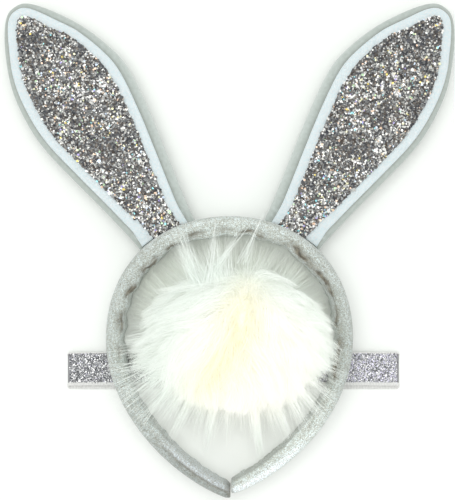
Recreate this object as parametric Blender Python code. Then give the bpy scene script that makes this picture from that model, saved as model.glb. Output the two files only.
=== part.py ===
"""Bunny ears headband with a fur tail on an elastic loop, laid flat together as a costume set.

A springy hoop, padded and covered in velvet, lies on its side edge. Two padded ears leave the outer
wall of its crown and tilt where they meet it. A fur ball, sewn to a folded loop of elastic, lies inside
the ring, and the elastic passes under the hoop's two arms. The headband lifts off it.

+Z is up from the surface that the set lies on, and +Y runs towards the tips of the ears. Sizes are in
millimetres and angles in degrees. The left side is -X.
"""

import math
from bisect import bisect_left

import bmesh
import bpy
from mathutils import Matrix, Vector

METRES = 0.001  # in one millimetre
FIT = 0.3  # gap between pieces that touch
LEFT, RIGHT = -1, 1
SIDE_NAMES = {LEFT: "left", RIGHT: "right"}
UP = Vector((0, 0, 1))

# The hoop's outer line, seen from above: a quarter curve down from the crown, then an arm in to the tip.
CROWN_Y = 16.2
HALF_WIDTH = 58.5
WIDEST_Y = -41.9
CROWN_HANDLE = 0.59  # of the quarter's width and height
ARM_HANDLE = 36.3
TIP_HANDLE = Vector((26.6, 9.1))
TIPS = {LEFT: Vector((-0.45, -118.7)), RIGHT: Vector((0.95, -116.4))}
LINE_STEPS = 80
MITRE_ARC = 30.0  # over which the section turns, so that the two tips meet face to face

# The hoop's section: depth runs inwards from the outer line, height up from the surface.
CROWN_DEPTH, TIP_DEPTH = 9.0, 7.0
CROWN_TOP, TIP_TOP = 25.0, 19.0
ARM_LIFT = 3.4  # of an arm's lower edge, over the elastic
LIFT_START, LIFT_END = 66.0, 88.0  # arc lengths from the crown's middle
SLEEVE_WALL = 1.0
OUTER_RADIUS, INNER_RADIUS = 3.4, 1.5
INNER_RADIUS_MIN = 0.4
CORNER_STEPS = 3
TAPER_START = 0.2  # share of the hoop's length where its upper edge starts to come down
LINING_SHARE = 0.56  # of the hoop's height
LINING_THICK = 0.8
CORE_SHARE = 0.5
CORE_THICK = 1.2
CORE_BACK = 1.3  # from the hoop's inner face to the core
TIP_CAP = 4.0
CAP_SHARES = (0.0, 0.45, 0.8, 1.0)  # of the cap's length, where its rings stand
CAP_ROUNDING = 1.6
CAP_FULLNESS = 0.92  # of a quarter circle, so that a flat face is left at the end
CAP_CORNER = 2.8
ROUND_STEPS = 2  # in the rounded corners of the padding and the caps

# The hoop flexes at a line across each shoulder.
FLEX_ARC = 60.0
FLEX_RANGE = 25.0
FLEX_SPARE = 1.0  # angle left open when an arm is flexed right out, each side
CROWN_STATIONS, ARM_STATIONS = 18, 14

# Ears: local x runs across towards the outer side, y from the hoop's wall to the tip.
EAR_LEAN = 30.2
EAR_BASE = Vector((32.0, 6.2))
EAR_BOTTOM = 9.2
EAR_SIDE_POINTS = [
    (13.3, 5.9),
    (17.6, 24.0),
    (22.8, 44.0),
    (27.6, 64.0),
    (28.8, 80.0),
    (26.8, 98.0),
    (20.2, 116.0),
    (12.6, 128.2),
    (6.0, 131.4),
    (-0.8, 129.6),
    (-9.5, 120.0),
    (-18.3, 106.0),
    (-24.6, 90.0),
    (-26.7, 77.0),
    (-25.2, 57.0),
    (-22.3, 36.0),
    (-19.9, 20.0),
    (-18.0, 5.9),
]
EAR_SMOOTH = 2
WALL_Y = 1.7  # of the hoop's outer wall, in the ear's own frame, at x = 0
EAR_HINGE_Y = 3.2
ANCHOR_RADIUS = 2.2
ANCHOR_HALF_WIDTHS = (16.6, 12.4)  # inner and outer side
ANCHOR_STATIONS, ANCHOR_STEPS = 9, 6
PANEL = 0.8
PANEL_RIM = 1.0
PADDING_THICK = 2.5
PADDING_INSET = 4.4
WIRE_RADIUS = 0.7
WIRE_INSET = 2.8
TRIM_THICK, TRIM_INSET = 0.6, 3.6
GLITTER_THICK, GLITTER_INSET = 0.7, 7.8
INLAY_SHIFT = Vector((0.8, 1.2))  # both inlays sit a little towards the outer side and the tip
INLAY_BASE = 0.3  # from the ear's own base

# Tail: a fur ball over a felt disc, tacked to the upper run of a flattened loop of elastic.
ELASTIC_WIDTH = 16.3
ELASTIC_THICK = 0.9
ELASTIC_Y = -56.9
ELASTIC_ENDS = (-78.0, 81.8)
RUN_GAP = 1.1  # between the loop's two runs
BACK_SHIFT = -1.2  # the lower run lies a little towards the hoop's tips
FOLD_STEPS = 8
JOIN_X, JOIN_LENGTH, JOIN_THICK = 30.0, 14.0, 0.5
BALL_CENTRE = Vector((3.6, -45.4))
BALL_RADIUS = 42.0
BALL_TOP = 66.0
BALL_WAIST = 30.0  # height of the widest part
BALL_SQUARENESS = 2.2
BALL_TURNS, BALL_RINGS = 28, 7
STUFFING_RADIUS = 19.0
STUFFING_CENTRE = 25.5
GATHER_RADIUS = 6.0
GATHER_HEIGHT = 1.0
DISC_RADIUS = 15.0
DISC_THICK = 1.0
DISC_SIDES = 28
TACK_RADIUS = 0.35
TACK_SIDES = 6
TACK_OFFSET = 13.0  # each side of the ball's centre

# name: (colour, roughness, metallic)
MATERIALS = {
    "velvet": ((0.62, 0.66, 0.63), 0.9, 0.0),
    "lining": ((0.72, 0.76, 0.73), 0.9, 0.0),
    "foam": ((0.9, 0.89, 0.82), 0.95, 0.0),
    "hoop_plastic": ((0.25, 0.24, 0.22), 0.45, 0.0),
    "wire": ((0.55, 0.56, 0.58), 0.35, 1.0),
    "plush_trim": ((0.84, 0.9, 0.94), 0.9, 0.0),
    "glitter_sheet": ((0.42, 0.43, 0.42), 0.3, 0.5),
    "fur": ((0.96, 0.95, 0.9), 0.8, 0.0),
    "fibrefill": ((0.95, 0.95, 0.93), 1.0, 0.0),
    "felt": ((0.9, 0.9, 0.88), 1.0, 0.0),
    "thread": ((0.93, 0.93, 0.9), 0.7, 0.0),
    "glitter_elastic": ((0.6, 0.6, 0.64), 0.35, 0.5),
    "white_elastic": ((0.9, 0.9, 0.88), 0.8, 0.0),
}


# Scene


def clear_scene():
    for thing in list(bpy.data.objects):
        bpy.data.objects.remove(thing, do_unlink=True)


def make_material(name):
    colour, roughness, metallic = MATERIALS[name]
    material = bpy.data.materials.new(name)
    material.use_nodes = True
    shader = material.node_tree.nodes["Principled BSDF"]
    shader.inputs["Base Color"].default_value = (*colour, 1)
    shader.inputs["Roughness"].default_value = roughness
    shader.inputs["Metallic"].default_value = metallic
    material.diffuse_color = (*colour, 1)
    return material


def make_pivot(name, place, parent=None, turn=0.0):
    """An empty on a joint's axis, turned about Z by turn degrees, at a place in the scene's frame."""
    pivot = bpy.data.objects.new(name, None)
    bpy.context.scene.collection.objects.link(pivot)
    pivot.empty_display_size = 0.01
    world = Matrix.Translation(Vector(place) * METRES) @ Matrix.Rotation(math.radians(turn), 4, "Z")
    if parent:
        pivot.parent = parent
        bpy.context.view_layer.update()
        world = parent.matrix_world.inverted() @ world
    pivot.matrix_basis = world
    bpy.context.view_layer.update()
    return pivot


def add_part(name, shape, material, pivot, local=False):
    """Turns a bmesh into an object under its pivot. It is in the scene's frame unless it is local."""
    bmesh.ops.recalc_face_normals(shape, faces=shape.faces)
    mesh = bpy.data.meshes.new(name)
    shape.transform(Matrix.Scale(METRES, 4))
    if not local:
        shape.transform(pivot.matrix_world.inverted())
    shape.to_mesh(mesh)
    shape.free()
    mesh.shade_smooth()
    mesh.set_sharp_from_angle(angle=math.radians(40))
    mesh.materials.append(materials[material])
    part = bpy.data.objects.new(name, mesh)
    bpy.context.scene.collection.objects.link(part)
    part.parent = pivot
    return part


# Curves and outlines


def bezier(a, b, c, d, steps):
    points = []
    for i in range(steps + 1):
        t = i / steps
        s = 1 - t
        points.append(a * s**3 + b * 3 * s * s * t + c * 3 * s * t * t + d * t**3)
    return points


def smooth_through(points, steps):
    """A Catmull-Rom curve through the points, open at both ends."""
    ends = [points[0] * 2 - points[1], *points, points[-1] * 2 - points[-2]]
    curve = []
    for i in range(1, len(ends) - 2):
        before, start, end, after = ends[i - 1 : i + 3]
        handle_a = start + (end - before) / 6
        handle_b = end - (after - start) / 6
        curve.extend(bezier(start, handle_a, handle_b, end, steps)[:-1])
    return [*curve, points[-1]]


def inset(outline, distance):
    """A closed outline moved inwards, each corner along its mitre. The outline runs anticlockwise."""
    moved = []
    for i, here in enumerate(outline):
        back = (here - outline[i - 1]).normalized()
        ahead = (outline[(i + 1) % len(outline)] - here).normalized()
        normals = [Vector((-d.y, d.x)) for d in (back, ahead)]
        mitre = normals[0] + normals[1]
        moved.append(here + mitre * (2 * distance / mitre.length_squared))
    return moved


def blend_between(low, high, share):
    """From low to high as share goes from 0 to 1, level at both ends."""
    t = min(max(share, 0.0), 1.0)
    return low + (high - low) * t * t * (3 - 2 * t)


# Lofts


def loft(rings):
    """A closed solid through rings of points, with a flat face on the first and the last."""
    shape = bmesh.new()
    rows = [[shape.verts.new(p) for p in ring] for ring in rings]
    for low, high in zip(rows, rows[1:]):
        for i in range(len(low)):
            j = (i + 1) % len(low)
            shape.faces.new((low[i], low[j], high[j], high[i]))
    shape.faces.new(rows[0])
    shape.faces.new(rows[-1])
    return shape


def loft_channel(stations):
    """A closed solid with an open channel: each station is its outer and its inner line of points."""
    shape = bmesh.new()
    rows = [[[shape.verts.new(p) for p in line] for line in station] for station in stations]
    for (outer_a, inner_a), (outer_b, inner_b) in zip(rows, rows[1:]):
        for line_a, line_b in ((outer_a, outer_b), (inner_a, inner_b)):
            for i in range(len(line_a) - 1):
                shape.faces.new((line_a[i], line_a[i + 1], line_b[i + 1], line_b[i]))
        for end in (0, -1):
            shape.faces.new((outer_a[end], outer_b[end], inner_b[end], inner_a[end]))
    for outer, inner in (rows[0], rows[-1]):
        for i in range(len(outer) - 1):
            shape.faces.new((outer[i], outer[i + 1], inner[i + 1], inner[i]))
    return shape


def loop_tube(path, radius, sides):
    """A closed loop of round cord along flat points in a plane of constant X."""
    shape = bmesh.new()
    count = len(path)
    rings = []
    for i, here in enumerate(path):
        along = (path[(i + 1) % count] - path[i - 1]).normalized()
        across = Vector((1, 0, 0))
        out = along.cross(across)
        ring = []
        for k in range(sides):
            angle = 2 * math.pi * k / sides
            spoke = across * math.cos(angle) + out * math.sin(angle)
            ring.append(shape.verts.new(here + spoke * radius))
        rings.append(ring)
    for i, ring in enumerate(rings):
        following = rings[(i + 1) % count]
        for k in range(sides):
            m = (k + 1) % sides
            shape.faces.new((ring[k], ring[m], following[m], following[k]))
    return shape


def turned(profile, centre, turns):
    """A solid turned about a vertical axis. The profile's first and last points lie on the axis."""
    shape = bmesh.new()
    base = Vector((*centre, 0))
    poles = [shape.verts.new(base + UP * profile[i][1]) for i in (0, -1)]
    rings = []
    for radius, height in profile[1:-1]:
        ring = []
        for k in range(turns):
            angle = 2 * math.pi * k / turns
            place = base + Vector((math.cos(angle) * radius, math.sin(angle) * radius, height))
            ring.append(shape.verts.new(place))
        rings.append(ring)
    for low, high in zip(rings, rings[1:]):
        for k in range(turns):
            m = (k + 1) % turns
            shape.faces.new((low[k], low[m], high[m], high[k]))
    for pole, ring in ((poles[0], rings[0]), (poles[1], rings[-1])):
        for k in range(turns):
            shape.faces.new((pole, ring[k], ring[(k + 1) % turns]))
    return shape


# The hoop's line


def hoop_line(side):
    """The outer line from the crown's middle to one tip, with the arc length at each point."""
    width_handle = HALF_WIDTH * CROWN_HANDLE
    height_handle = (CROWN_Y - WIDEST_Y) * CROWN_HANDLE
    top = Vector((0, CROWN_Y))
    widest = Vector((HALF_WIDTH, WIDEST_Y))
    top_handle = top + Vector((width_handle, 0))
    side_handle = widest + Vector((0, height_handle))
    crown = bezier(top, top_handle, side_handle, widest, LINE_STEPS)
    tip = TIPS[side]
    arm = bezier(widest, widest - Vector((0, ARM_HANDLE)), tip + TIP_HANDLE, tip, LINE_STEPS)
    points = crown + arm[1:]
    arcs = [0.0]
    for a, b in zip(points, points[1:]):
        arcs.append(arcs[-1] + (b - a).length)
    return points, arcs


HOOP_LINES = {side: hoop_line(side) for side in (LEFT, RIGHT)}


def hoop_length(side):
    return HOOP_LINES[side][1][-1]


def hoop_frame(arc):
    """The outer line's point, its direction and the way inwards, at a signed arc length from the crown."""
    side = LEFT if arc < 0 else RIGHT
    points, arcs = HOOP_LINES[side]
    i = min(max(bisect_left(arcs, abs(arc)), 1), len(arcs) - 1)
    share = (abs(arc) - arcs[i - 1]) / (arcs[i] - arcs[i - 1])
    here = points[i - 1].lerp(points[i], share)
    along = points[i] - points[i - 1]
    here = Vector((here.x * side, here.y))
    along = Vector((along.x, along.y * side)).normalized()
    mitre = blend_between(0, 1, 1 - (arcs[-1] - abs(arc)) / MITRE_ARC)
    inwards = Vector((along.y, -along.x)).lerp(Vector((0, 1)), mitre)
    return here, along, inwards.normalized()


def hoop_section(arc):
    """Depth, lower edge and upper edge of the hoop at a signed arc length."""
    side = LEFT if arc < 0 else RIGHT
    share = abs(arc) / hoop_length(side)
    depth = CROWN_DEPTH + (TIP_DEPTH - CROWN_DEPTH) * share
    bottom = blend_between(0, ARM_LIFT, (abs(arc) - LIFT_START) / (LIFT_END - LIFT_START))
    top = blend_between(CROWN_TOP, TIP_TOP, (share - TAPER_START) / (1 - TAPER_START))
    return depth, bottom, top


def core_depth(arc):
    return hoop_section(arc)[0] - CORE_BACK - CORE_THICK / 2


def flex_shift(arc, depth, middle):
    """How far a piece's end face stands back from the flex line, as a V that closes as the arm flexes."""
    if not math.isclose(abs(arc), FLEX_ARC):
        return 0.0
    slant = math.tan(math.radians(FLEX_RANGE / 2 + FLEX_SPARE))
    back = FIT / 2 + max(core_depth(arc) - depth, 0) * slant
    return math.copysign(back, middle - arc)


def hoop_point(arc, depth, height, middle):
    """A point of a piece whose own middle is at that arc length."""
    here, along, inwards = hoop_frame(arc)
    place = here + inwards * depth + along * flex_shift(arc, depth, middle)
    return Vector((place.x, place.y, height))


def spread(start, end, count):
    return [start + (end - start) * i / (count - 1) for i in range(count)]


# The hoop's pieces


def corner(centre, radius, start, steps):
    """A quarter turn of points round a corner of the section, as depth and height."""
    points = []
    for i in range(steps + 1):
        angle = math.radians(start + 90 * i / steps)
        points.append((centre[0] + math.cos(angle) * radius, centre[1] + math.sin(angle) * radius))
    return points


def channel_line(depth, bottom, top, slot, wall):
    """The sleeve's section, a rounded C open towards the head, moved inwards by wall."""
    middle = (bottom + top) / 2
    outer = OUTER_RADIUS - wall
    inner = max(INNER_RADIUS - wall, INNER_RADIUS_MIN)
    face = depth - wall
    low, high = bottom + wall, top - wall
    points = [(face, middle - slot / 2)]
    points += reversed(corner((face - inner, low + inner), inner, 270, CORNER_STEPS))
    points += reversed(corner((wall + outer, low + outer), outer, 180, CORNER_STEPS))
    points += reversed(corner((wall + outer, high - outer), outer, 90, CORNER_STEPS))
    points += reversed(corner((face - inner, high - inner), inner, 0, CORNER_STEPS))
    points.append((face, middle + slot / 2))
    return points


def sleeve(arcs):
    middle = (arcs[0] + arcs[-1]) / 2
    stations = []
    for arc in arcs:
        depth, bottom, top = hoop_section(arc)
        slot = (top - bottom) * LINING_SHARE + 2 * FIT
        lines = [channel_line(depth, bottom, top, slot, wall) for wall in (0.0, SLEEVE_WALL)]
        stations.append([[hoop_point(arc, d, z, middle) for d, z in line] for line in lines])
    return loft_channel(stations)


def strip(arcs, section):
    """A solid bar along the hoop. section gives near and far depth, low and high edge at an arc length."""
    middle = (arcs[0] + arcs[-1]) / 2
    rings = []
    for arc in arcs:
        near, far, low, high = section(arc)
        corners = ((near, low), (far, low), (far, high), (near, high))
        rings.append([hoop_point(arc, d, z, middle) for d, z in corners])
    return loft(rings)


def core_section(arc):
    depth, bottom, top = hoop_section(arc)
    half = (top - bottom) * CORE_SHARE / 2
    middle = (top + bottom) / 2
    return depth - CORE_BACK - CORE_THICK, depth - CORE_BACK, middle - half, middle + half


def lining_section(arc):
    depth, bottom, top = hoop_section(arc)
    half = (top - bottom) * LINING_SHARE / 2
    middle = (top + bottom) / 2
    return depth - LINING_THICK, depth, middle - half, middle + half


def padding(arcs):
    """Foam between the sleeve's outer wall and the core, with rounded outer edges."""
    middle = (arcs[0] + arcs[-1]) / 2
    rings = []
    for arc in arcs:
        depth, bottom, top = hoop_section(arc)
        near = SLEEVE_WALL + FIT
        far = depth - CORE_BACK - CORE_THICK - FIT
        low, high = bottom + near, top - near
        radius = OUTER_RADIUS - SLEEVE_WALL
        section = [(far, low), (far, high)]
        section += corner((near + radius, high - radius), radius, 90, ROUND_STEPS)
        section += corner((near + radius, low + radius), radius, 180, ROUND_STEPS)
        rings.append([hoop_point(arc, d, z, middle) for d, z in section])
    return loft(rings)


def tip_cap(side):
    """The closed end of an arm, rounded off over its last few millimetres."""
    length = hoop_length(side)
    rings = []
    for share in CAP_SHARES:
        arc = side * (length - TIP_CAP * (1 - share))
        depth, bottom, top = hoop_section(arc)
        back = CAP_ROUNDING * (1 - math.sqrt(1 - (share * CAP_FULLNESS) ** 2))
        radius = CAP_CORNER
        low, high = bottom + back, top - back
        near, far = back, depth - back
        section = corner((far - radius, high - radius), radius, 0, ROUND_STEPS)
        section += corner((near + radius, high - radius), radius, 90, ROUND_STEPS)
        section += corner((near + radius, low + radius), radius, 180, ROUND_STEPS)
        section += corner((far - radius, low + radius), radius, 270, ROUND_STEPS)
        rings.append([hoop_point(arc, d, z, arc) for d, z in section])
    return loft(rings)


def build_hoop(pivots):
    crown_arcs = spread(-FLEX_ARC, FLEX_ARC, CROWN_STATIONS)
    runs = {"crown": crown_arcs}
    for side, name in SIDE_NAMES.items():
        end = hoop_length(side) - TIP_CAP - FIT
        runs[f"{name}_arm"] = spread(side * FLEX_ARC, side * end, ARM_STATIONS)
    for name, arcs in runs.items():
        pivot = pivots[name]
        add_part(f"{name}_core", strip(arcs, core_section), "hoop_plastic", pivot)
        add_part(f"{name}_padding", padding(arcs), "foam", pivot)
        add_part(f"{name}_sleeve", sleeve(arcs), "velvet", pivot)
        add_part(f"{name}_lining", strip(arcs, lining_section), "lining", pivot)
    for side, name in SIDE_NAMES.items():
        add_part(f"{name}_tip_cap", tip_cap(side), "velvet", pivots[f"{name}_arm"])


# Ears, each in its own frame: x towards the outer side times side, y to the tip, z up from its hinge


def ear_outline():
    """The ear's closed outline, anticlockwise as on the right ear, which the left one mirrors."""
    return smooth_through([Vector(p) for p in EAR_SIDE_POINTS], EAR_SMOOTH)


def raised(outline, height, side):
    return [Vector((p.x * side, p.y - EAR_HINGE_Y, height)) for p in outline]


def tray(outline, floor, rim, side):
    """A panel with a turned edge. floor is its outer face's height and rim its edge's, from the hinge."""
    inwards = PANEL if rim > floor else -PANEL
    rings = [
        raised(inset(outline, PANEL_RIM / 2), floor, side),
        raised(outline, floor + inwards / 2, side),
        raised(outline, rim, side),
        raised(inset(outline, PANEL_RIM), rim, side),
        raised(inset(outline, PANEL_RIM), floor + inwards, side),
    ]
    return loft(rings)


def plate(outline, low, high, side):
    return loft([raised(outline, low, side), raised(outline, high, side)])


def inlay_outline(outline, distance):
    """An inset outline that still reaches the ear's base."""
    base = EAR_SIDE_POINTS[0][1] + INLAY_BASE
    moved = [p + INLAY_SHIFT for p in inset(outline, distance)]
    first, last = moved[0], moved[-1]
    return [Vector((first.x, base)), *moved[1:-1], Vector((last.x, base))]


def wire_curve(name, outline, height, side, pivot):
    """A bent wire just inside the ear's edge, from one corner of the base to the other."""
    path = inset(outline, WIRE_INSET)[::EAR_SMOOTH]
    curve = bpy.data.curves.new(name, "CURVE")
    curve.dimensions = "3D"
    curve.bevel_depth = WIRE_RADIUS * METRES
    curve.bevel_resolution = 2
    curve.use_fill_caps = True
    spline = curve.splines.new("POLY")
    spline.points.add(len(path) - 1)
    for point, place in zip(spline.points, raised(path, height, side)):
        point.co = (*(place * METRES), 1)
    curve.materials.append(materials["wire"])
    wire = bpy.data.objects.new(name, curve)
    bpy.context.scene.collection.objects.link(wire)
    wire.parent = pivot


def anchor(side):
    """The velvet knuckle that joins an ear to the hoop: a half-round bar on a web to the wall."""
    inner, outer = ANCHOR_HALF_WIDTHS
    rings = []
    for x in spread(-inner, outer, ANCHOR_STATIONS):
        wall = WALL_Y - x * x / (2 * HALF_WIDTH) + FIT - EAR_HINGE_Y
        ring = [(wall, -ANCHOR_RADIUS)]
        for i in range(ANCHOR_STEPS + 1):
            angle = math.radians(-90 + 180 * i / ANCHOR_STEPS)
            ring.append((math.cos(angle) * ANCHOR_RADIUS, math.sin(angle) * ANCHOR_RADIUS))
        ring.append((wall, ANCHOR_RADIUS))
        rings.append([Vector((x * side, y, z)) for y, z in ring])
    return loft(rings)


def build_ear(side, crown, ear):
    name = SIDE_NAMES[side]
    outline = ear_outline()
    layers = 2 * (PANEL + FIT) + PADDING_THICK
    bottom, top = -layers / 2, layers / 2
    seam = FIT / 2
    trim_low = top + FIT
    glitter_low = trim_low + TRIM_THICK + FIT
    padding_outline = inset(outline, PADDING_INSET)
    add_part(f"{name}_ear_back", tray(outline, bottom, -seam, side), "velvet", ear, local=True)
    add_part(f"{name}_ear_front", tray(outline, top, seam, side), "velvet", ear, local=True)
    half = PADDING_THICK / 2
    add_part(f"{name}_ear_padding", plate(padding_outline, -half, half, side), "foam", ear, local=True)
    wire_curve(f"{name}_ear_wire", outline, 0, side, ear)
    trim = plate(inlay_outline(outline, TRIM_INSET), trim_low, trim_low + TRIM_THICK, side)
    add_part(f"{name}_ear_trim", trim, "plush_trim", ear, local=True)
    glitter_outline = inlay_outline(outline, GLITTER_INSET)
    glitter = plate(glitter_outline, glitter_low, glitter_low + GLITTER_THICK, side)
    add_part(f"{name}_ear_glitter", glitter, "glitter_sheet", ear, local=True)
    knuckle = anchor(side)
    knuckle.transform(Matrix.Scale(1 / METRES, 4) @ ear.matrix_world @ Matrix.Scale(METRES, 4))
    add_part(f"{name}_ear_anchor", knuckle, "velvet", crown)


def ear_hinge_place(side):
    lean = math.radians(EAR_LEAN)
    along = Vector((math.sin(lean), math.cos(lean)))
    place = EAR_BASE + along * EAR_HINGE_Y
    middle = EAR_BOTTOM + PANEL + FIT + PADDING_THICK / 2
    return Vector((place.x * side, place.y, middle))


# Tail


def box(low, high):
    shape = bmesh.new()
    bmesh.ops.create_cube(shape, size=1)
    size = Vector(high) - Vector(low)
    shape.transform(Matrix.Translation((Vector(low) + Vector(high)) / 2) @ Matrix.Diagonal((*size, 1)))
    return shape


def elastic_fold(x, side):
    """The half turn at one end of the flattened loop, from the lower run to the upper."""
    inner = RUN_GAP / 2
    middle = ELASTIC_THICK + inner
    rings = []
    for i in range(FOLD_STEPS + 1):
        angle = math.radians(-90 + 180 * i / FOLD_STEPS)
        shift = BACK_SHIFT * (1 - i / FOLD_STEPS)
        ring = []
        outer = inner + ELASTIC_THICK
        for radius, edge in ((inner, -1), (outer, -1), (outer, 1), (inner, 1)):
            across = x + side * math.cos(angle) * radius
            y = ELASTIC_Y + shift + edge * ELASTIC_WIDTH / 2
            ring.append(Vector((across, y, middle + math.sin(angle) * radius)))
        rings.append(ring)
    return loft(rings)


def build_elastic(tail):
    turn = RUN_GAP / 2 + ELASTIC_THICK
    straight = {LEFT: ELASTIC_ENDS[0] + turn, RIGHT: ELASTIC_ENDS[1] - turn}
    start, end = straight[LEFT] + FIT, straight[RIGHT] - FIT
    for name, low, shift, material in (
        ("elastic_back", 0.0, BACK_SHIFT, "white_elastic"),
        ("elastic_front", ELASTIC_THICK + RUN_GAP, 0.0, "glitter_elastic"),
    ):
        near = ELASTIC_Y + shift - ELASTIC_WIDTH / 2
        run = box((start, near, low), (end, near + ELASTIC_WIDTH, low + ELASTIC_THICK))
        add_part(name, run, material, tail)
    for side, x in straight.items():
        add_part(f"elastic_{SIDE_NAMES[side]}_fold", elastic_fold(x, side), "glitter_elastic", tail)
    near = ELASTIC_Y + BACK_SHIFT - ELASTIC_WIDTH / 2
    low = ELASTIC_THICK + FIT
    lap = box((JOIN_X, near, low), (JOIN_X + JOIN_LENGTH, near + ELASTIC_WIDTH, low + JOIN_THICK))
    add_part("elastic_lap_join", lap, "white_elastic", tail)


def tack(x, low, high):
    """A loop of thread round the upper run and the felt disc on it, from low to high."""
    near = ELASTIC_Y - ELASTIC_WIDTH / 2 - FIT - TACK_RADIUS
    far = ELASTIC_Y + ELASTIC_WIDTH / 2 + FIT + TACK_RADIUS
    across = (near, (near + far) / 2, far)
    path = [Vector((x, y, low)) for y in across]
    path += [Vector((x, y, high)) for y in reversed(across)]
    return loop_tube(path, TACK_RADIUS, TACK_SIDES)


def ball_profile(bottom):
    """The fur's section: from its opening round the outside to the top, then down round the stuffing."""
    outer = [(GATHER_RADIUS + FIT, bottom)]
    spans = ((BALL_WAIST - bottom, -90, 0), (BALL_TOP - BALL_WAIST, 0, 90))
    for height, start, end in spans:
        for i in range(1, BALL_RINGS + 1):
            angle = math.radians(start + (end - start) * i / BALL_RINGS)
            across = math.cos(angle) ** (2 / BALL_SQUARENESS)
            rise = math.copysign(abs(math.sin(angle)) ** (2 / BALL_SQUARENESS), math.sin(angle))
            outer.append((BALL_RADIUS * across, BALL_WAIST + rise * height))
    cavity = STUFFING_RADIUS / math.cos(math.radians(90 / BALL_RINGS)) + FIT
    opening = math.degrees(math.asin((GATHER_RADIUS + FIT) / cavity))
    inner = []
    for i in range(BALL_RINGS + 1):
        angle = math.radians(90 - (180 - opening) * i / BALL_RINGS)
        inner.append((cavity * math.cos(angle), STUFFING_CENTRE + cavity * math.sin(angle)))
    return outer, inner


def fur_ball(bottom):
    """A thick shell open below, where the skin is gathered."""
    outer, inner = ball_profile(bottom)
    shape = bmesh.new()
    base = Vector((*BALL_CENTRE, 0))
    top_out = shape.verts.new(base + UP * outer[-1][1])
    top_in = shape.verts.new(base + UP * inner[0][1])
    rings = []
    for radius, height in outer[:-1] + inner[:0:-1]:
        ring = []
        for k in range(BALL_TURNS):
            angle = 2 * math.pi * k / BALL_TURNS
            place = base + Vector((math.cos(angle) * radius, math.sin(angle) * radius, height))
            ring.append(shape.verts.new(place))
        rings.append(ring)
    outer_rings, inner_rings = rings[: len(outer) - 1], rings[len(outer) - 1 :]
    pairs = list(zip(outer_rings, outer_rings[1:])) + list(zip(inner_rings, inner_rings[1:]))
    pairs.append((outer_rings[0], inner_rings[0]))
    for low, high in pairs:
        for k in range(BALL_TURNS):
            m = (k + 1) % BALL_TURNS
            shape.faces.new((low[k], low[m], high[m], high[k]))
    for pole, ring in ((top_out, outer_rings[-1]), (top_in, inner_rings[-1])):
        for k in range(BALL_TURNS):
            shape.faces.new((pole, ring[k], ring[(k + 1) % BALL_TURNS]))
    return shape


def stuffing():
    profile = []
    for i in range(2 * BALL_RINGS + 1):
        angle = math.radians(-90 + 180 * i / (2 * BALL_RINGS))
        height = STUFFING_CENTRE + STUFFING_RADIUS * math.sin(angle)
        profile.append((STUFFING_RADIUS * math.cos(angle), height))
    return turned(profile, BALL_CENTRE, BALL_TURNS)


def disc(radius, low, high, centre):
    return turned([(0, low), (radius, low), (radius, high), (0, high)], centre, DISC_SIDES)


def build_tail(tail):
    build_elastic(tail)
    run_top = 2 * ELASTIC_THICK + RUN_GAP
    disc_low = run_top + FIT
    disc_top = disc_low + DISC_THICK
    disc_centre = Vector((BALL_CENTRE.x, ELASTIC_Y))
    add_part("tail_felt_disc", disc(DISC_RADIUS, disc_low, disc_top, disc_centre), "felt", tail)
    for side in (LEFT, RIGHT):
        x = BALL_CENTRE.x + side * TACK_OFFSET
        low = ELASTIC_THICK + RUN_GAP / 2
        high = disc_top + TACK_RADIUS + FIT / 2
        add_part(f"tail_{SIDE_NAMES[side]}_tack", tack(x, low, high), "thread", tail)
    fur_bottom = disc_top + 2 * TACK_RADIUS + FIT
    add_part("tail_fur", fur_ball(fur_bottom), "fur", tail)
    add_part("tail_stuffing", stuffing(), "fibrefill", tail)
    gather = disc(GATHER_RADIUS, fur_bottom, fur_bottom + GATHER_HEIGHT, BALL_CENTRE)
    add_part("tail_gather", gather, "thread", tail)


# The whole set


def centre_footprint(root):
    """Moves the whole set so that the middle of the area it covers is the origin."""
    bpy.context.view_layer.update()
    points = []
    for thing in bpy.data.objects:
        if thing.type == "MESH":
            points += [thing.matrix_world @ v.co for v in thing.data.vertices]
    for axis in (0, 1):
        values = [p[axis] for p in points]
        root.location[axis] -= (min(values) + max(values)) / 2


def build():
    tail = make_pivot("tail_base", (0, 0, 0))
    crown = make_pivot("headband_lift", (0, 0, 0), tail)
    pivots = {"crown": crown}
    for side, name in SIDE_NAMES.items():
        here, _, inwards = hoop_frame(side * FLEX_ARC)
        place = here + inwards * core_depth(side * FLEX_ARC)
        pivots[f"{name}_arm"] = make_pivot(f"{name}_arm_flex", (*place, 0), crown)
    build_hoop(pivots)
    for side, name in SIDE_NAMES.items():
        ear = make_pivot(f"{name}_ear_tilt", ear_hinge_place(side), crown, -side * EAR_LEAN)
        build_ear(side, crown, ear)
    build_tail(tail)
    centre_footprint(tail)


clear_scene()
materials = {name: make_material(name) for name in MATERIALS}
build()
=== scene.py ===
"""Looks for a rabbit ears headband and its fur tail, laid flat together and seen from straight above.

The velvet hoop and the ears are padded covers. Each ear carries a plush
inlay and a sheet of chunky glitter. The tail is an undercoat with strands of long fur, on a folded
glitter elastic. Sizes are in millimetres and angles in degrees, unless a comment says otherwise.
"""

import math
from types import SimpleNamespace

import bmesh
import bpy
import numpy as np
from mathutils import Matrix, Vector, noise

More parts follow.
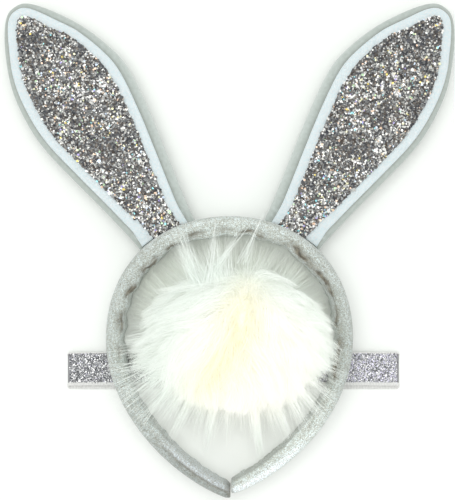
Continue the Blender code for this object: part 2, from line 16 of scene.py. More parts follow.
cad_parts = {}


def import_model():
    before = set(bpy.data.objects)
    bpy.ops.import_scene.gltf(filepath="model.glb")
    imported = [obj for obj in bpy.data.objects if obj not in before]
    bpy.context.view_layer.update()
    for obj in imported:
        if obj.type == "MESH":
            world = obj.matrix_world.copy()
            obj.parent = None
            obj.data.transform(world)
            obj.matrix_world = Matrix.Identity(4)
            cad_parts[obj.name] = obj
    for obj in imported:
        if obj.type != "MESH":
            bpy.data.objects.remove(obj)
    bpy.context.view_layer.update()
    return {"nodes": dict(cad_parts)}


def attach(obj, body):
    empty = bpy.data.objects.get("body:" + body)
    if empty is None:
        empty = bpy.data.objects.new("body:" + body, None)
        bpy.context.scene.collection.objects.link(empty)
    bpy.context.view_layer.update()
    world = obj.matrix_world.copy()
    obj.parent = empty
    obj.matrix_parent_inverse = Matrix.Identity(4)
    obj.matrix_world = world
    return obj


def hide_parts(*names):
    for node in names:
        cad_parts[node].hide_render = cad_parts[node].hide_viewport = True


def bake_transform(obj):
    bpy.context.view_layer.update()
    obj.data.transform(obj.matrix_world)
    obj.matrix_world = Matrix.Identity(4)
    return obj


MM = 0.001
LEFT, RIGHT = -1, 1
SIDE_NAMES = {LEFT: "left", RIGHT: "right"}
FRAME_SHIFT = -0.35  # in Y, from this script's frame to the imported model's

# The hoop's outer line and section
CROWN_Y, HALF_WIDTH, WIDEST_Y = 16.2, 58.5, -41.9
CROWN_HANDLE, ARM_HANDLE = 0.59, 36.3
TIP_HANDLE = (26.6, 9.1)
TIPS = {LEFT: (-0.45, -118.7), RIGHT: (0.95, -116.4)}
LINE_STEPS = 160
HALF_STEP = 0.5  # of the chord that gives the line's direction
MITRE_ARC = 30.0
CROWN_DEPTH, TIP_DEPTH = 9.0, 7.0
CROWN_TOP, TIP_TOP = 25.0, 19.0
TAPER_START = 0.2
ARM_LIFT, LIFT_START, LIFT_END = 3.4, 66.0, 88.0
OUTER_CORNER, INNER_CORNER = 3.2, 1.7
CORNER_SPANS, TALL_SPANS, FLAT_SPANS = 5, 16, 6  # round the section
STATION_STEP = 0.9
CAP_LENGTH, CAP_RINGS = 4.0, (1, 0.6, 0.3, 0.1, 0.0)
CAP_ROUNDING, CAP_REACH = 1.5, 0.95  # how far a cap draws in, and the share of a quarter turn it takes
FLEX_START, FLEX_END = 50.0, 70.0  # arc lengths at which build_hoop takes the hoop's frame

# The velvet on the hoop
TOP_BAND = (2.5, 0.6)  # below the top, between which the sides turn into the upper face
WALL_BAND = (1.4, 0.3)  # before the inner wall
CROWN_RISE = 0.45
LUMP, LUMP_SIZE = 0.22, 11.0
PUCKER, PUCKER_SIZE, PUCKER_STRETCH = 0.42, 2.6, 0.25  # of the turned-in edge on the inner wall
SCALLOP_SIZE, SCALLOP_START = 7.5, 0.55  # of the inner edge's waves; the share of the depth they start at
SCALLOP_CALM, CALM_ARCS = 0.75, (95, 125)  # how much of the scallop is gone, and between where
LINING_SHARE = 0.56
TAPE_WIDTH, TAPE_DEPTH = 0.45, 0.35
SEAM_ARCS = (140.0, 165.0)  # between which the left arm's upper seam starts
SEAM_SHARE, SEAM_WIDTH, SEAM_DEPTH = 0.52, 0.65, 0.6
FOLD_WIDTH, FOLD_DEPTH, FOLD_BAND = 0.19, 0.4, (4.0, 1.5)  # the band lies below the top
FOLD_WANDER, FOLD_ROUGHNESS = 0.07, 0.75
# Painted shade in the seam's and the tape's grooves and on the left tip's rounded end
SEAM_SHADE, TAPE_SHADE, TIP_SHADE = 0.55, 0.2, 0.6
INNER_SHARES = (0.35, 0.75)  # of the depth, between which the outer half turns into the inner half
# Painted sheen on the lit half of the arms' upper faces, and along the inner wall before the arms
FACE_SHEEN, WALL_SHEEN = 0.5, 0.25
# Painted light and shade: the share of the painted lightness that reaches the sides, the painted shade on
# an arm's half that is turned from the light, and the painted shade at the tips' ends
SIDE_LIT, DULL_SHADE, CAP_SHADE = 0.35, 0.18, 0.2
NAP_STRETCH = 0.3  # of the streaks along the hoop
FOLDS = (  # folds that dip the velvet and carry painted shade: arc length (leftwards negative), half length, share of the depth and strength
    (-98, 5.0, 0.84, 0.5),
    (-83, 6.5, 0.85, 1.1),
    (-66, 5.5, 0.9, 1.1),
    (-60, 45.0, 0.94, 0.15),
    (-48, 6.0, 0.92, 1.2),
    (-31, 5.0, 0.92, 0.9),
    (-18, 5.0, 0.8, 0.7),
    (-3, 6.0, 0.7, 0.45),
    (13, 9.0, 0.78, 0.75),
    (27, 6.0, 0.88, 0.6),
    (40, 11.0, 0.76, 0.9),
    (61, 9.0, 0.8, 1.0),
    (65, 50.0, 0.82, 0.4),
    (80, 7.0, 0.84, 0.8),
    (96, 6.0, 0.8, 0.95),
    (107, 7.0, 0.82, 1.2),
    (137, 11.0, 0.75, 0.35),
)
PAINTED_LIGHTNESS = {  # painted light and shade on the velvet, mostly on its top face, at arc lengths from the crown
    LEFT: ((0, 1.24), (45, 1.04), (110, 1.03), (150, 0.93), (195, 0.86)),
    RIGHT: ((0, 1.24), (45, 1.04), (110, 0.95), (145, 1.46), (195, 1.52)),
}

# The ears, each in its own frame: x to the outer side, y to the tip, z up from the hinge
EAR_LEAN = 30.2
EAR_BASE = (32.0, 6.2)
EAR_MIDDLE_Z = 11.55
EAR_TUCK = 0.6  # of the ear's base, into the hoop's cover
WALL_Y = 1.7  # of the hoop's outer wall in an ear's frame, at x = 0
EAR_SIDE_POINTS = (
    (12.4, -0.2), (13.3, 5.9), (17.6, 24.0), (22.8, 44.0), (27.6, 64.0), (28.8, 80.0), (26.8, 98.0),
    (20.2, 116.0), (12.6, 128.2), (6.0, 131.4), (-0.8, 129.6), (-9.5, 120.0), (-18.3, 106.0),
    (-24.6, 90.0), (-26.7, 77.0), (-25.2, 57.0), (-22.3, 36.0), (-19.9, 20.0), (-18.0, 5.9), (-17.4, -1.5),
)
OUTLINE_STEP = 1.0
SPINE = (14.0, 106.0)
RIM_HEIGHTS = (  # at distances from the outline
    (0, 0.0), (0.25, 1.2), (0.7, 2.0), (1.4, 2.55), (2.0, 2.7), (2.6, 2.65),
    (3.2, 2.45), (3.8, 2.2), (4.6, 2.1), (5.4, 2.1), (6.2, 2.1),
)
BACK_HEIGHTS = ((0, 0.0), (0.25, -1.1), (0.7, -1.8), (1.4, -2.2), (3.0, -2.35), (6, -2.35))
COVER_LUMPS, LUMPS_SIZE = 0.12, 8.0
DEEPEST = 0.9  # share of the way to the middle line that an edge's profile may take
MIDDLE_RINGS = (0.35, 0.6, 0.8, 0.92)  # shares of the rest of that way
CREASE_SHADE, CREASE_WIDTH = 0.42, 0.9  # painted shade on the rim's velvet beside the trim
# Painted light on the rim: its velvet turns paler from this far beyond the trim, over this range
RIM_LIGHT, RIM_LIGHT_START, RIM_LIGHT_RANGE = 0.9, 2.4, 3.0
TRIM_INSET, TRIM_LUMPS = 3.6, 0.04
TRIM_FRONT = ((0, 2.8), (0.2, 3.15), (0.6, 3.3), (2, 3.3))
TRIM_BACK = ((0, 2.8), (0.2, 2.3), (2, 2.3))
GLITTER_INSET = 8.3
GLITTER_FRONT = ((0, 3.8), (0.15, 3.9), (2, 3.9))
GLITTER_BACK = ((0, 3.45), (0.15, 3.35), (2, 3.35))
GLITTER_TIP, TIP_PULL, TIP_RANGE = (5.6, 125.6), 0.8, 6.0
GLITTER_FOOT, FOOT_RANGE = 3.6, 22.0  # how far the sheet draws in at its foot's outer side
INLAY_SHIFT = (0.8, 1.2)
INLAY_GAP = 0.15  # from the hoop's wall
GLITTER_WOBBLE, WOBBLE_SIZE = 0.32, 1.3

# The glitter's chips
EAR_SEED = 40
FLAKE_SIDES = 6
FLAKE_JITTER = 1.3  # in pitches
LARGE_FLAKES, LARGE_GROWTH = 0.07, 1.6  # the share of chips that are larger, and how much
DRIFT_SIZE, BROAD_DRIFT_SIZE, BROAD_DRIFT = 2.6, 12.0, 0.7  # of the patches that share a tone
FLAKE_PITCH, FLAKE_RADIUS, FLAKE_TILT = 0.62, (0.22, 0.62), 28.0
FLAKE_HEIGHTS = (3.95, 4.35)
FLAKE_DRIFT, FLAKE_LIFT = 0.18, -0.045

# The tail
BALL = (3.6, -40.2, 25.5)
SKIN_RADIUS = 19.4
UNDERCOAT, UNDERCOAT_FOOT = (32.0, 26.0, 28.0), 5.6
UNDERCOAT_LUMPS = ((5, 0.06), (14, 0.03))  # how fine and how high, as a share of its size
FUR_SEED = 11
CREST = (3.8, -3.5)  # seen from above, where the fur falls away on all sides
FALL = 0.75  # how strongly the fur turns down the ball, against how strongly it leaves the crest
PARTING_X, PARTING_Y = (7.8, 4.6, -2.1, -11.2), (-13.0, -35.6, -46.8, -61.4)
GOLDEN_Y = -42.0  # the middle of the parting's stretch of painted gold scattered light
PARTING_PUSH = {LEFT: 1.25, RIGHT: 0.7}  # how strongly the fur leaves the parting
PARTING_REACH = {LEFT: 26.0, RIGHT: 5.0}
PARTING_START, PARTING_FADE = -16.0, 8.0
GOLDEN_REACH = (9.0, 26.0)  # across the parting and along it
STRANDS, STRAND_POINTS = 46000, 8
CLUMPS = 560
GATHER, GATHER_CURVE = 0.66, 1.2  # how far a clump's strands meet at their tips
CLUMP_TURN, STRAND_TURN = 0.26, 0.12  # how far their ways stray, in radians
ROOT_SPREAD, LAYER_SPREAD = 0.08, 0.03
LENGTH_SPREAD = (0.6, 1.25)
STRAND_LENGTH = (15.0, 33.0)
LOWER_SHORTENING = 0.68  # of the strands that leave the ball downwards, seen from above
SIDE_SHORTENING = {LEFT: 0.15, RIGHT: 0.25}
LAYERS = (1.02, 1.26)  # of the strands, as shares of the undercoat's size
SWIRL = 0.55  # how far the flow turns as it goes, in radians
BEND = 0.36  # share of its way that a strand gives up to the flow at each step
DROOP = 0.16
STRAND_WIDTH, TIP_WIDTH = 0.27, 0.12  # the second as a share of the first
GOLDEN_SPREAD, SHADE_SPREAD = (0.55, 1.0), (0.87, 1.04)
FUR_GLOW, GLOW_COLOUR = 0.15, (1.0, 0.98, 0.9)  # stands for light that scatters from strand to strand
FUR_PIECES = 4
COOL_MIDDLE, COOL_REACH = (9.0, -51.0), 51.0  # from which the fur turns to painted cool shade, and how far off
MOST_COOL = 0.88  # except for the fur below DIM_TOP and beyond DIM_Y, in the band's shade
DIM_TOP, DIM_FADE, DIM_Y = 24.0, 8.0, -34.0
LOWEST_ROOT = -0.5  # as a share of the skin's radius
BAND_TOP, BAND_CLEARANCE, REACH_STEP = 26.5, 1.2, 1.5
BAND_SLACK = 3.0  # below the band's top, from which strands still come to lie over it
FUR_BOTTOM, FUR_TOP = 3.8, 68.0
TUFTS = (  # where each stray tuft starts and ends, its spread and its strands
    ((-14, -16, 38), (-24, 12, 29), 2.0, 60),
    ((-13, -18, 38), (-28, 6, 29), 3.0, 60),
    ((-8, -16, 36), (-20, 3, 27), 3.4, 70),
    ((-10, -15, 40), (-5.8, 15.6, 30), 0.8, 22),
    ((-5, -15, 38), (-10, 10, 29), 2.6, 40),
    ((-9, -12, 38), (8, 11, 29), 2.0, 40),
    ((-2, -14, 38), (-1, 8, 28), 3.0, 40),
    ((6, -6, 34), (16.5, 19.0, 29), 0.3, 9),
    ((-20, -36, 20), (-48, -28, 8), 6.0, 700),
    ((-20, -30, 20), (-42, -12, 8), 7.0, 1100),
    ((-12, -24, 20), (-28, -1, 9), 7.0, 1100),
    ((0, -22, 20), (-8, 5, 10), 8.0, 1000),
    ((8, -22, 20), (16, 3, 10), 8.0, 1000),
    ((18, -26, 20), (36, -7, 8), 7.0, 1000),
    ((24, -32, 20), (48, -24, 8), 6.0, 700),
    ((-22, -42, 18), (-50, -56, 8), 6.0, 900),
    ((26, -46, 18), (50, -58, 8), 4.0, 400),
    ((-24, -42, 34), (-54, -46, 29), 4.0, 60),
    ((-24, -48, 34), (-56, -60, 29), 4.5, 100),
    ((-22, -50, 34), (-52, -72, 29), 4.5, 110),
    ((-18, -52, 32), (-43, -81, 27), 3.0, 150),
    ((-16, -54, 32), (-35, -86, 22), 3.0, 110),
    ((-12, -55, 32), (-30, -93, 17), 1.4, 110),
    ((-8, -56, 32), (-17, -86, 14), 2.2, 120),
    ((-4, -56, 32), (-12, -98, 12), 1.6, 150),
    ((0, -58, 32), (-2, -92, 12), 2.6, 80),
    ((4, -56, 36), (5, -86, 14), 3.0, 100),
    ((9, -54, 42), (15.5, -102, 14), 0.9, 260),
    ((9, -56, 38), (11, -93, 14), 1.0, 90),
    ((13, -54, 38), (23, -90, 16), 2.0, 130),
    ((15, -54, 36), (30, -94, 18), 1.2, 120),
    ((20, -52, 34), (37, -85, 24), 2.4, 130),
    ((23, -52, 34), (45, -80, 27), 2.2, 110),
    ((26, -50, 34), (51, -71, 29), 3.0, 110),
    ((28, -46, 34), (55, -60, 29), 3.0, 70),
    ((-18, -52, 24), (-29, -76, 12), 6.0, 330),
    ((-8, -56, 24), (-14, -81, 11), 6.5, 330),
    ((4, -57, 24), (3, -83, 11), 7.0, 330),
    ((15, -56, 24), (21, -81, 12), 6.5, 330),
    ((24, -50, 24), (36, -74, 13), 5.5, 300),
)
TUFT_REACH = (0.58, 1.03)  # of a tuft's strands, as shares of the way to its end
TUFT_ROOT, TUFT_FLATNESS, TUFT_ARCH, ARCH_SPREAD = 1.6, 0.4, 5.0, 0.8

# The elastic
ELASTIC_WIDTH, ELASTIC_THICK = 16.3, 0.9
ELASTIC_Y, ELASTIC_ENDS = -57.7, (-79.2, 83.0)
RUN_GAP, BACK_SHIFT = 1.1, -2.0
SELVEDGES = (1.5, 0.6)  # at the lower and the upper edge
BAND_STEP, FOLD_SPANS = 1.5, 12
WEAVE_DEPTH, EDGE_SOFTNESS = 0.18, 0.2  # of the glitter's ground below the selvedges
WAVER, WAVER_SIZE = 0.12, 9.0
ELASTIC_SEED = 23
FINE_FLAKE_PITCH, FINE_FLAKE_RADIUS, FINE_FLAKE_TILT, FINE_FLAKE_HEIGHT = 0.4, (0.14, 0.3), 30.0, 0.16
GLITTER_SHOWN = 14.0  # from the middle, where the fur stops hiding the elastic
GLITTER_LIFT = {LEFT: -0.03, RIGHT: 0.22}  # how much lighter the elastic's glitter is

# The view. The lamp's and the floor's numbers and CAMERA_NEAR are in metres
CAMERA_PLACE = (-0.96, -0.1, 572.0)
CAMERA_LENS, CAMERA_NEAR = 84.0, 0.01
LAMP_PLACE, LAMP_SIZE, LAMP_POWER = (-0.08, 0.1, 1.0), 0.7, 4.4
SKY_STRENGTH = 0.82
FLOOR_SIZE = 40


# Meshes


def place(points):
    """Millimetres in this script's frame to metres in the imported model's frame."""
    return (np.asarray(points, float) + (0, FRAME_SHIFT, 0)) * MM


def add(name, data):
    """A new object in the scene."""
    thing = bpy.data.objects.new(name, data)
    bpy.context.scene.collection.objects.link(thing)
    return thing


def make_mesh(name, points, faces, material, smooth=True):
    mesh = bpy.data.meshes.new(name)
    mesh.from_pydata([tuple(p) for p in place(points)], [], [tuple(f) for f in faces])
    mesh.materials.append(material)
    shape = bmesh.new()
    shape.from_mesh(mesh)
    if smooth:
        bmesh.ops.recalc_face_normals(shape, faces=shape.faces)
    shape.to_mesh(mesh)
    shape.free()
    if smooth:
        mesh.shade_smooth()
        mesh.set_sharp_from_angle(angle=math.radians(60))
    return add(name, mesh)


def give_attribute(thing, name, values, domain="POINT"):
    """Numbers or vectors that a material reads, one for each point or face."""
    values = np.asarray(values, np.float32)
    kind, key = ("FLOAT", "value") if values.ndim == 1 else ("FLOAT_VECTOR", "vector")
    attribute = thing.data.attributes.new(name, kind, domain)
    attribute.data.foreach_set(key, values.ravel())


def ring_faces(around, first, second):
    """Faces between two rings of points, given by their places in the row of rings."""
    here, there = first * around, second * around
    ways = [(k, (k + 1) % around) for k in range(around)]
    return [(here + k, here + m, there + m, there + k) for k, m in ways]


def tube_faces(rings, around):
    """Faces of a tube of rings, with a face over each end."""
    faces = [face for i in range(rings - 1) for face in ring_faces(around, i, i + 1)]
    faces.append(tuple(range(around)))
    faces.append(tuple((rings - 1) * around + k for k in range(around)))
    return faces


def loop_faces(rings, around):
    """Faces of a tube of rings that closes on itself."""
    return [face for i in range(rings) for face in ring_faces(around, i, (i + 1) % rings)]


def ripple(x, y, z, size):
    """Smooth noise from about -1 to 1, with lumps of that size. A fixed y or z picks one slice of it."""
    return noise.noise(Vector((x / size, y / size, z / size))) * 1.6


def step_up(value, low, high):
    """A smooth step from 0 at low to 1 at high."""
    t = min(max((value - low) / (high - low), 0.0), 1.0)
    return t * t * (3 - 2 * t)


def bell(value, width):
    """A bell curve, 1 at zero and small beyond its width."""
    return math.exp(-((value / width) ** 2))


def bezier(a, b, c, d, steps):
    t = np.linspace(0, 1, steps + 1)[:, None]
    a, b, c, d = (np.array(p, float) for p in (a, b, c, d))
    s = 1 - t
    return a * s**3 + 3 * b * s * s * t + 3 * c * s * t * t + d * t**3


def smooth_through(points, steps):
    """A smooth curve through points, with that many steps between two of them."""
    points = np.array(points, float)
    ends = np.vstack([2 * points[0] - points[1], points, 2 * points[-1] - points[-2]])
    curve = []
    for before, start, end, after in zip(ends, ends[1:], ends[2:], ends[3:]):
        curve.append(bezier(start, start + (end - before) / 6, end - (after - start) / 6, end, steps)[:-1])
    return np.vstack([*curve, points[-1:]])


def evenly(line, step):
    """The same line with points that far apart."""
    lengths = np.concatenate([[0], np.cumsum(np.linalg.norm(np.diff(line, axis=0), axis=1))])
    at = np.linspace(0, lengths[-1], int(lengths[-1] / step) + 1)
    return np.column_stack([np.interp(at, lengths, line[:, i]) for i in range(line.shape[1])])


# The hoop's line


def hoop_line(side):
    """One half of the hoop's outer line as if on the right, and the arc length at each of its points."""
    top, widest = (0, CROWN_Y), (HALF_WIDTH, WIDEST_Y)
    height = (CROWN_Y - WIDEST_Y) * CROWN_HANDLE
    beside_top, above_widest = (HALF_WIDTH * CROWN_HANDLE, CROWN_Y), (HALF_WIDTH, WIDEST_Y + height)
    crown = bezier(top, beside_top, above_widest, widest, LINE_STEPS)
    tip = TIPS[side]
    above_tip = (tip[0] + TIP_HANDLE[0], tip[1] + TIP_HANDLE[1])
    arm = bezier(widest, (HALF_WIDTH, WIDEST_Y - ARM_HANDLE), above_tip, tip, LINE_STEPS)
    points = np.vstack([crown, arm[1:]])
    arcs = np.concatenate([[0], np.cumsum(np.linalg.norm(np.diff(points, axis=0), axis=1))])
    return points, arcs


HOOP_LINES = {side: hoop_line(side) for side in (LEFT, RIGHT)}
HOOP_LENGTH = {side: arcs[-1] for side, (points, arcs) in HOOP_LINES.items()}


def line_point(side, arc):
    points, arcs = HOOP_LINES[side]
    return np.array([np.interp(arc, arcs, points[:, i]) for i in (0, 1)])


def hoop_frame(side, arc):
    """The outer line's point and the way inwards at an arc length from the crown."""
    chord = line_point(side, arc + HALF_STEP) - line_point(side, arc - HALF_STEP)
    along = chord / np.linalg.norm(chord)
    inwards = np.array([along[1], -along[0]])
    if arc < HALF_STEP:
        inwards = np.array([0.0, -1.0])
    mitre = step_up(1 - (HOOP_LENGTH[side] - arc) / MITRE_ARC, 0, 1)
    inwards = inwards * (1 - mitre) + np.array([0.0, 1.0]) * mitre
    inwards /= np.linalg.norm(inwards)
    return line_point(side, arc) * (side, 1), inwards * (side, 1)


def hoop_section(side, arc):
    """The hoop's depth, bottom and top at an arc length."""
    share = arc / HOOP_LENGTH[side]
    depth = CROWN_DEPTH + (TIP_DEPTH - CROWN_DEPTH) * share
    bottom = ARM_LIFT * step_up(arc, LIFT_START, LIFT_END)
    top = CROWN_TOP + (TIP_TOP - CROWN_TOP) * step_up(share, TAPER_START, 1)
    return depth, bottom, top


def rounded_section(depth, bottom, top, back):
    """The hoop's section as depth and height, anticlockwise, drawn in by back near a tip's end."""
    low, high, near, far = bottom + back, top - back, back, depth - back
    inner, outer = INNER_CORNER, OUTER_CORNER
    corners = (
        (far - inner, low + inner, inner, -90),
        (far - inner, high - inner, inner, 0),
        (near + outer, high - outer, outer, 90),
        (near + outer, low + outer, outer, 180),
    )
    points = []
    for x, z, radius, start in corners:
        for i in range(CORNER_SPANS + 1):
            angle = math.radians(start + 90 * i / CORNER_SPANS)
            points.append((x + math.cos(angle) * radius, z + math.sin(angle) * radius))
    line = np.array([*points, points[0]])
    counts = ([1] * CORNER_SPANS + [TALL_SPANS] + [1] * CORNER_SPANS + [FLAT_SPANS]) * 2
    dense = []
    for a, b, count in zip(line, line[1:], counts):
        dense += [a + (b - a) * k / count for k in range(count)]
    return np.array(dense)


def fold_depth(signed, share):
    """How deep in one of the velvet's folds a place is, from 0 to 1."""
    deepest = 0.0
    wander = FOLD_WANDER * ripple(signed, 3.0, 3.0, 6.0)
    for middle, half_length, fold_share, strength in FOLDS:
        along, across = (signed - middle) / half_length, (share + wander - fold_share) / FOLD_WIDTH
        deepest = max(deepest, strength * math.exp(-(along**4) - across**2))
    return deepest * (1.0 + FOLD_ROUGHNESS * ripple(signed * NAP_STRETCH, share * 12, 1.0, 1.7))


def station(side, arc):
    """The hoop at an arc length: its frame, its section, and which of the cover's features it carries."""
    here, inwards = hoop_frame(side, arc)
    depth, bottom, top = hoop_section(side, arc)
    calm = 1 - SCALLOP_CALM * step_up(arc, *CALM_ARCS)
    return SimpleNamespace(
        signed=arc * side, here=here, inwards=inwards, depth=depth, bottom=bottom, top=top,
        on_left=side == LEFT,
        on_arm=step_up(arc, *SEAM_ARCS),
        into_cap=max(1 - (HOOP_LENGTH[side] - arc) / CAP_LENGTH, 0.0),
        scallop=ripple(arc * side, 3.1, 0, SCALLOP_SIZE) * calm,
        # painted light and shade along the hoop
        painted_lightness=np.interp(arc, *zip(*PAINTED_LIGHTNESS[side])),
    )


def surface(at, d, z):
    """What the cover is like at a depth and height of a station's section."""
    share = d / at.depth
    on_top = step_up(z, at.top - TOP_BAND[0], at.top - TOP_BAND[1])
    wall = step_up(d, at.depth - WALL_BAND[0], at.depth - WALL_BAND[1])
    lining_edge = abs(abs(z - (at.bottom + at.top) / 2) - (at.top - at.bottom) * LINING_SHARE / 2)
    near_top = step_up(z, at.top - FOLD_BAND[0], at.top - FOLD_BAND[1])
    seam = bell(d - at.depth * SEAM_SHARE, SEAM_WIDTH) * on_top * at.on_arm * at.on_left
    tape = bell(lining_edge, TAPE_WIDTH) * wall
    fold = fold_depth(at.signed, share) * near_top
    return SimpleNamespace(share=share, on_top=on_top, wall=wall, seam=seam, tape=tape, fold=fold)


def surface_point(at, here, d, z):
    """Where a place of the section comes to lie, with its puckers, lumps, seams and folds."""
    pucker = ripple(at.signed, z * PUCKER_STRETCH, 5.0, PUCKER_SIZE) * PUCKER * here.wall
    lump = ripple(at.signed, d, z, LUMP_SIZE) * LUMP
    rise = CROWN_RISE * math.sin(math.pi * min(max(here.share, 0), 1)) * here.on_top
    offset = d + step_up(here.share, SCALLOP_START, 1) * at.scallop + pucker - TAPE_DEPTH * here.tape
    height = z + rise + lump * here.on_top - SEAM_DEPTH * here.seam - FOLD_DEPTH * here.fold
    x, y = at.here + at.inwards * offset
    return x, y, max(height, at.bottom)


def surface_tone(at, here):
    """How dark with painted shade in folds, seams and tape, how pale with painted sheen, and how lit or
    shaded the velvet is at a place.
    """
    tape = TAPE_SHADE * here.tape * (1 - at.on_arm)
    fold = min(max(here.fold, SEAM_SHADE * here.seam, tape, TIP_SHADE * at.into_cap * at.on_left, 0), 1.0)
    inner = step_up(here.share, *INNER_SHARES)
    lit_half, shaded_half = (inner, 1 - inner) if at.on_left else (1 - inner, inner)
    on_face = max(here.on_top, here.wall * at.on_left)
    # painted sheen
    pale = FACE_SHEEN * on_face * lit_half * at.on_arm + WALL_SHEEN * here.wall * (1 - at.on_arm)
    # painted light: the top face takes most of the painted lightness, the sides only SIDE_LIT of it
    lit = 1 + (at.painted_lightness - 1) * (SIDE_LIT + (1 - SIDE_LIT) * here.on_top)
    # painted shade on the arm's half turned from the light and at the tips' ends
    return fold, pale, lit * (1 - DULL_SHADE * shaded_half * at.on_arm) * (1 - CAP_SHADE * at.into_cap)


def hoop_cover(side, material):
    """One half of the velvet cover, from the crown's middle to a tip, with its folds and seams."""
    cap = HOOP_LENGTH[side] - CAP_LENGTH * np.array(CAP_RINGS)
    arcs = np.append(np.arange(0, cap[0], STATION_STEP), cap)
    points, tones, naps = [], [], []
    for arc in arcs:
        at = station(side, arc)
        drawn_in = CAP_ROUNDING * (1 - math.sqrt(1 - (at.into_cap * CAP_REACH) ** 2))
        for d, z in rounded_section(at.depth, at.bottom, at.top, drawn_in):
            here = surface(at, d, z)
            points.append(surface_point(at, here, d, z))
            tones.append(surface_tone(at, here))
            naps.append((at.signed * NAP_STRETCH, d, z))
    faces = tube_faces(len(arcs), len(points) // len(arcs))
    cover = make_mesh(f"{SIDE_NAMES[side]}_hoop_cover", points, faces, material)
    # The painted shade of folds, the painted sheen, and the painted light and shade
    for name, values in zip(("fold", "pale", "shade"), zip(*tones)):
        give_attribute(cover, name, values)
    give_attribute(cover, "nap", np.array(naps) * MM)
    return cover


def build_hoop(materials):
    for side, name in SIDE_NAMES.items():
        cover = hoop_cover(side, materials["hoop_velvet"])
        for arc in (FLEX_START, FLEX_END):
            here, inwards = hoop_frame(side, arc)
        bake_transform(cover)
        nodes = [f"{name}_arm_sleeve", f"{name}_arm_lining", f"{name}_arm_padding", f"{name}_tip_cap"]
        if side == LEFT:
            nodes += ["crown_sleeve", "crown_lining", "crown_padding"]
        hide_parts(*nodes)


# Ears


def ear_world(points, side):
    """Points of an ear's own frame in this script's frame."""
    points = np.asarray(points, float)
    lean = math.radians(EAR_LEAN)
    x, y = points[:, 0], points[:, 1]
    across = EAR_BASE[0] + x * math.cos(lean) + y * math.sin(lean)
    up = EAR_BASE[1] - x * math.sin(lean) + y * math.cos(lean)
    return np.column_stack([across * side, up, points[:, 2] + EAR_MIDDLE_Z])


def wall_height(x):
    """The hoop's outer wall in an ear's frame."""
    return WALL_Y - x * x / (2 * HALF_WIDTH)


def ear_outline():
    """The ear's outline with its base along the hoop's wall, and how many points come before the base."""
    curve = evenly(smooth_through(EAR_SIDE_POINTS, 10), OUTLINE_STEP)
    x = np.arange(EAR_SIDE_POINTS[-1][0], EAR_SIDE_POINTS[0][0], OUTLINE_STEP)[1:]
    base = np.column_stack([x, wall_height(x) - EAR_TUCK])
    return np.vstack([curve, base]), len(curve)


def spine_points(outline, side_count):
    """For each point of an ear's outline, the point on the ear's middle line that it shrinks towards."""
    peak = int(np.argmax(outline[:, 1]))
    right = outline[:peak]
    left = outline[peak:side_count][::-1]
    y = np.clip(outline[:, 1], *SPINE)
    middle = (np.interp(y, right[:, 1], right[:, 0]) + np.interp(y, left[:, 1], left[:, 0])) / 2
    return np.column_stack([middle, y])


def inlay_outline(distance, wobble=0.0):
    """The ear's outline drawn in by a distance, cut along the hoop's wall and roughly elsewhere."""
    outline, side_count = ear_outline()
    spine = spine_points(outline, side_count)
    inwards = spine - outline
    lengths = np.linalg.norm(inwards, axis=1)[:, None]
    rough = np.array([ripple(x, y, 1.0, WOBBLE_SIZE) for x, y in outline])[:, None] * wobble
    moved = outline + inwards / lengths * (distance + rough) + INLAY_SHIFT
    base = wall_height(moved[:, 0]) + INLAY_GAP
    low = outline[:, 1] < distance + WALL_Y
    moved[low, 1] = np.maximum(outline[low, 1], base[low])
    return moved


def glitter_outline():
    """The glitter sheet's outline: roughly cut, pointed at its tip and drawn in at its foot."""
    line = inlay_outline(GLITTER_INSET, GLITTER_WOBBLE)
    to_tip = np.array(GLITTER_TIP) - line
    distance = np.linalg.norm(to_tip, axis=1)[:, None]
    line += to_tip * TIP_PULL * np.exp(-((distance / TIP_RANGE) ** 2))
    foot = np.clip(1 - line[:, 1] / FOOT_RANGE, 0, 1) ** 1.5
    line[:, 0] -= GLITTER_FOOT * foot * (line[:, 0] > 0)
    return line


def layer_rings(outline, spine, front, back, lumps=0.0):
    """Rings of a closed padded layer, whose front and back have heights at distances from its outline."""
    inwards = spine - outline
    lengths = np.linalg.norm(inwards, axis=1)
    start = np.minimum(front[-1][0] / lengths, DEEPEST)
    sides = []
    for heights in (front, back):
        rings = [(np.minimum(distance / lengths, DEEPEST), height) for distance, height in heights]
        rings += [(start + (1 - start) * share, heights[-1][1]) for share in MIDDLE_RINGS]
        sides.append(rings)
    layer = []
    for along, height in [*reversed(sides[1][1:]), *sides[0]]:
        flat = outline + inwards * along[:, None]
        swell = np.array([ripple(x, y, height, LUMPS_SIZE) for x, y in flat]) * lumps * min(abs(height), 1)
        layer.append(np.column_stack([flat, height + swell]))
    return np.array(layer)


def ear_layer(name, side, rings, material):
    return make_mesh(name, ear_world(rings.reshape(-1, 3), side), tube_faces(*rings.shape[:2]), material)


def distance_to(line, points):
    """How far each point is, seen from above, from the nearest point of a line."""
    return np.array([np.min(np.linalg.norm(line - point, axis=1)) for point in points[:, :2]])


def inside(outline, points):
    """Which points lie inside an outline."""
    found = np.zeros(len(points), bool)
    x, y = points[:, 0], points[:, 1]
    for (ax, ay), (bx, by) in zip(outline, np.roll(outline, -1, axis=0)):
        crosses = (ay > y) != (by > y)
        with np.errstate(divide="ignore", invalid="ignore"):
            at = (bx - ax) * (y - ay) / (by - ay) + ax
        found ^= crosses & (x < at)
    return found


def jittered_grid(low, high, pitch, rng):
    """Places between two corners, roughly a pitch apart."""
    xs, ys = (np.arange(low[i], high[i], pitch) for i in (0, 1))
    grid = np.array(np.meshgrid(xs, ys)).reshape(2, -1).T
    return grid + rng.uniform(-0.5, 0.5, grid.shape) * pitch * FLAKE_JITTER


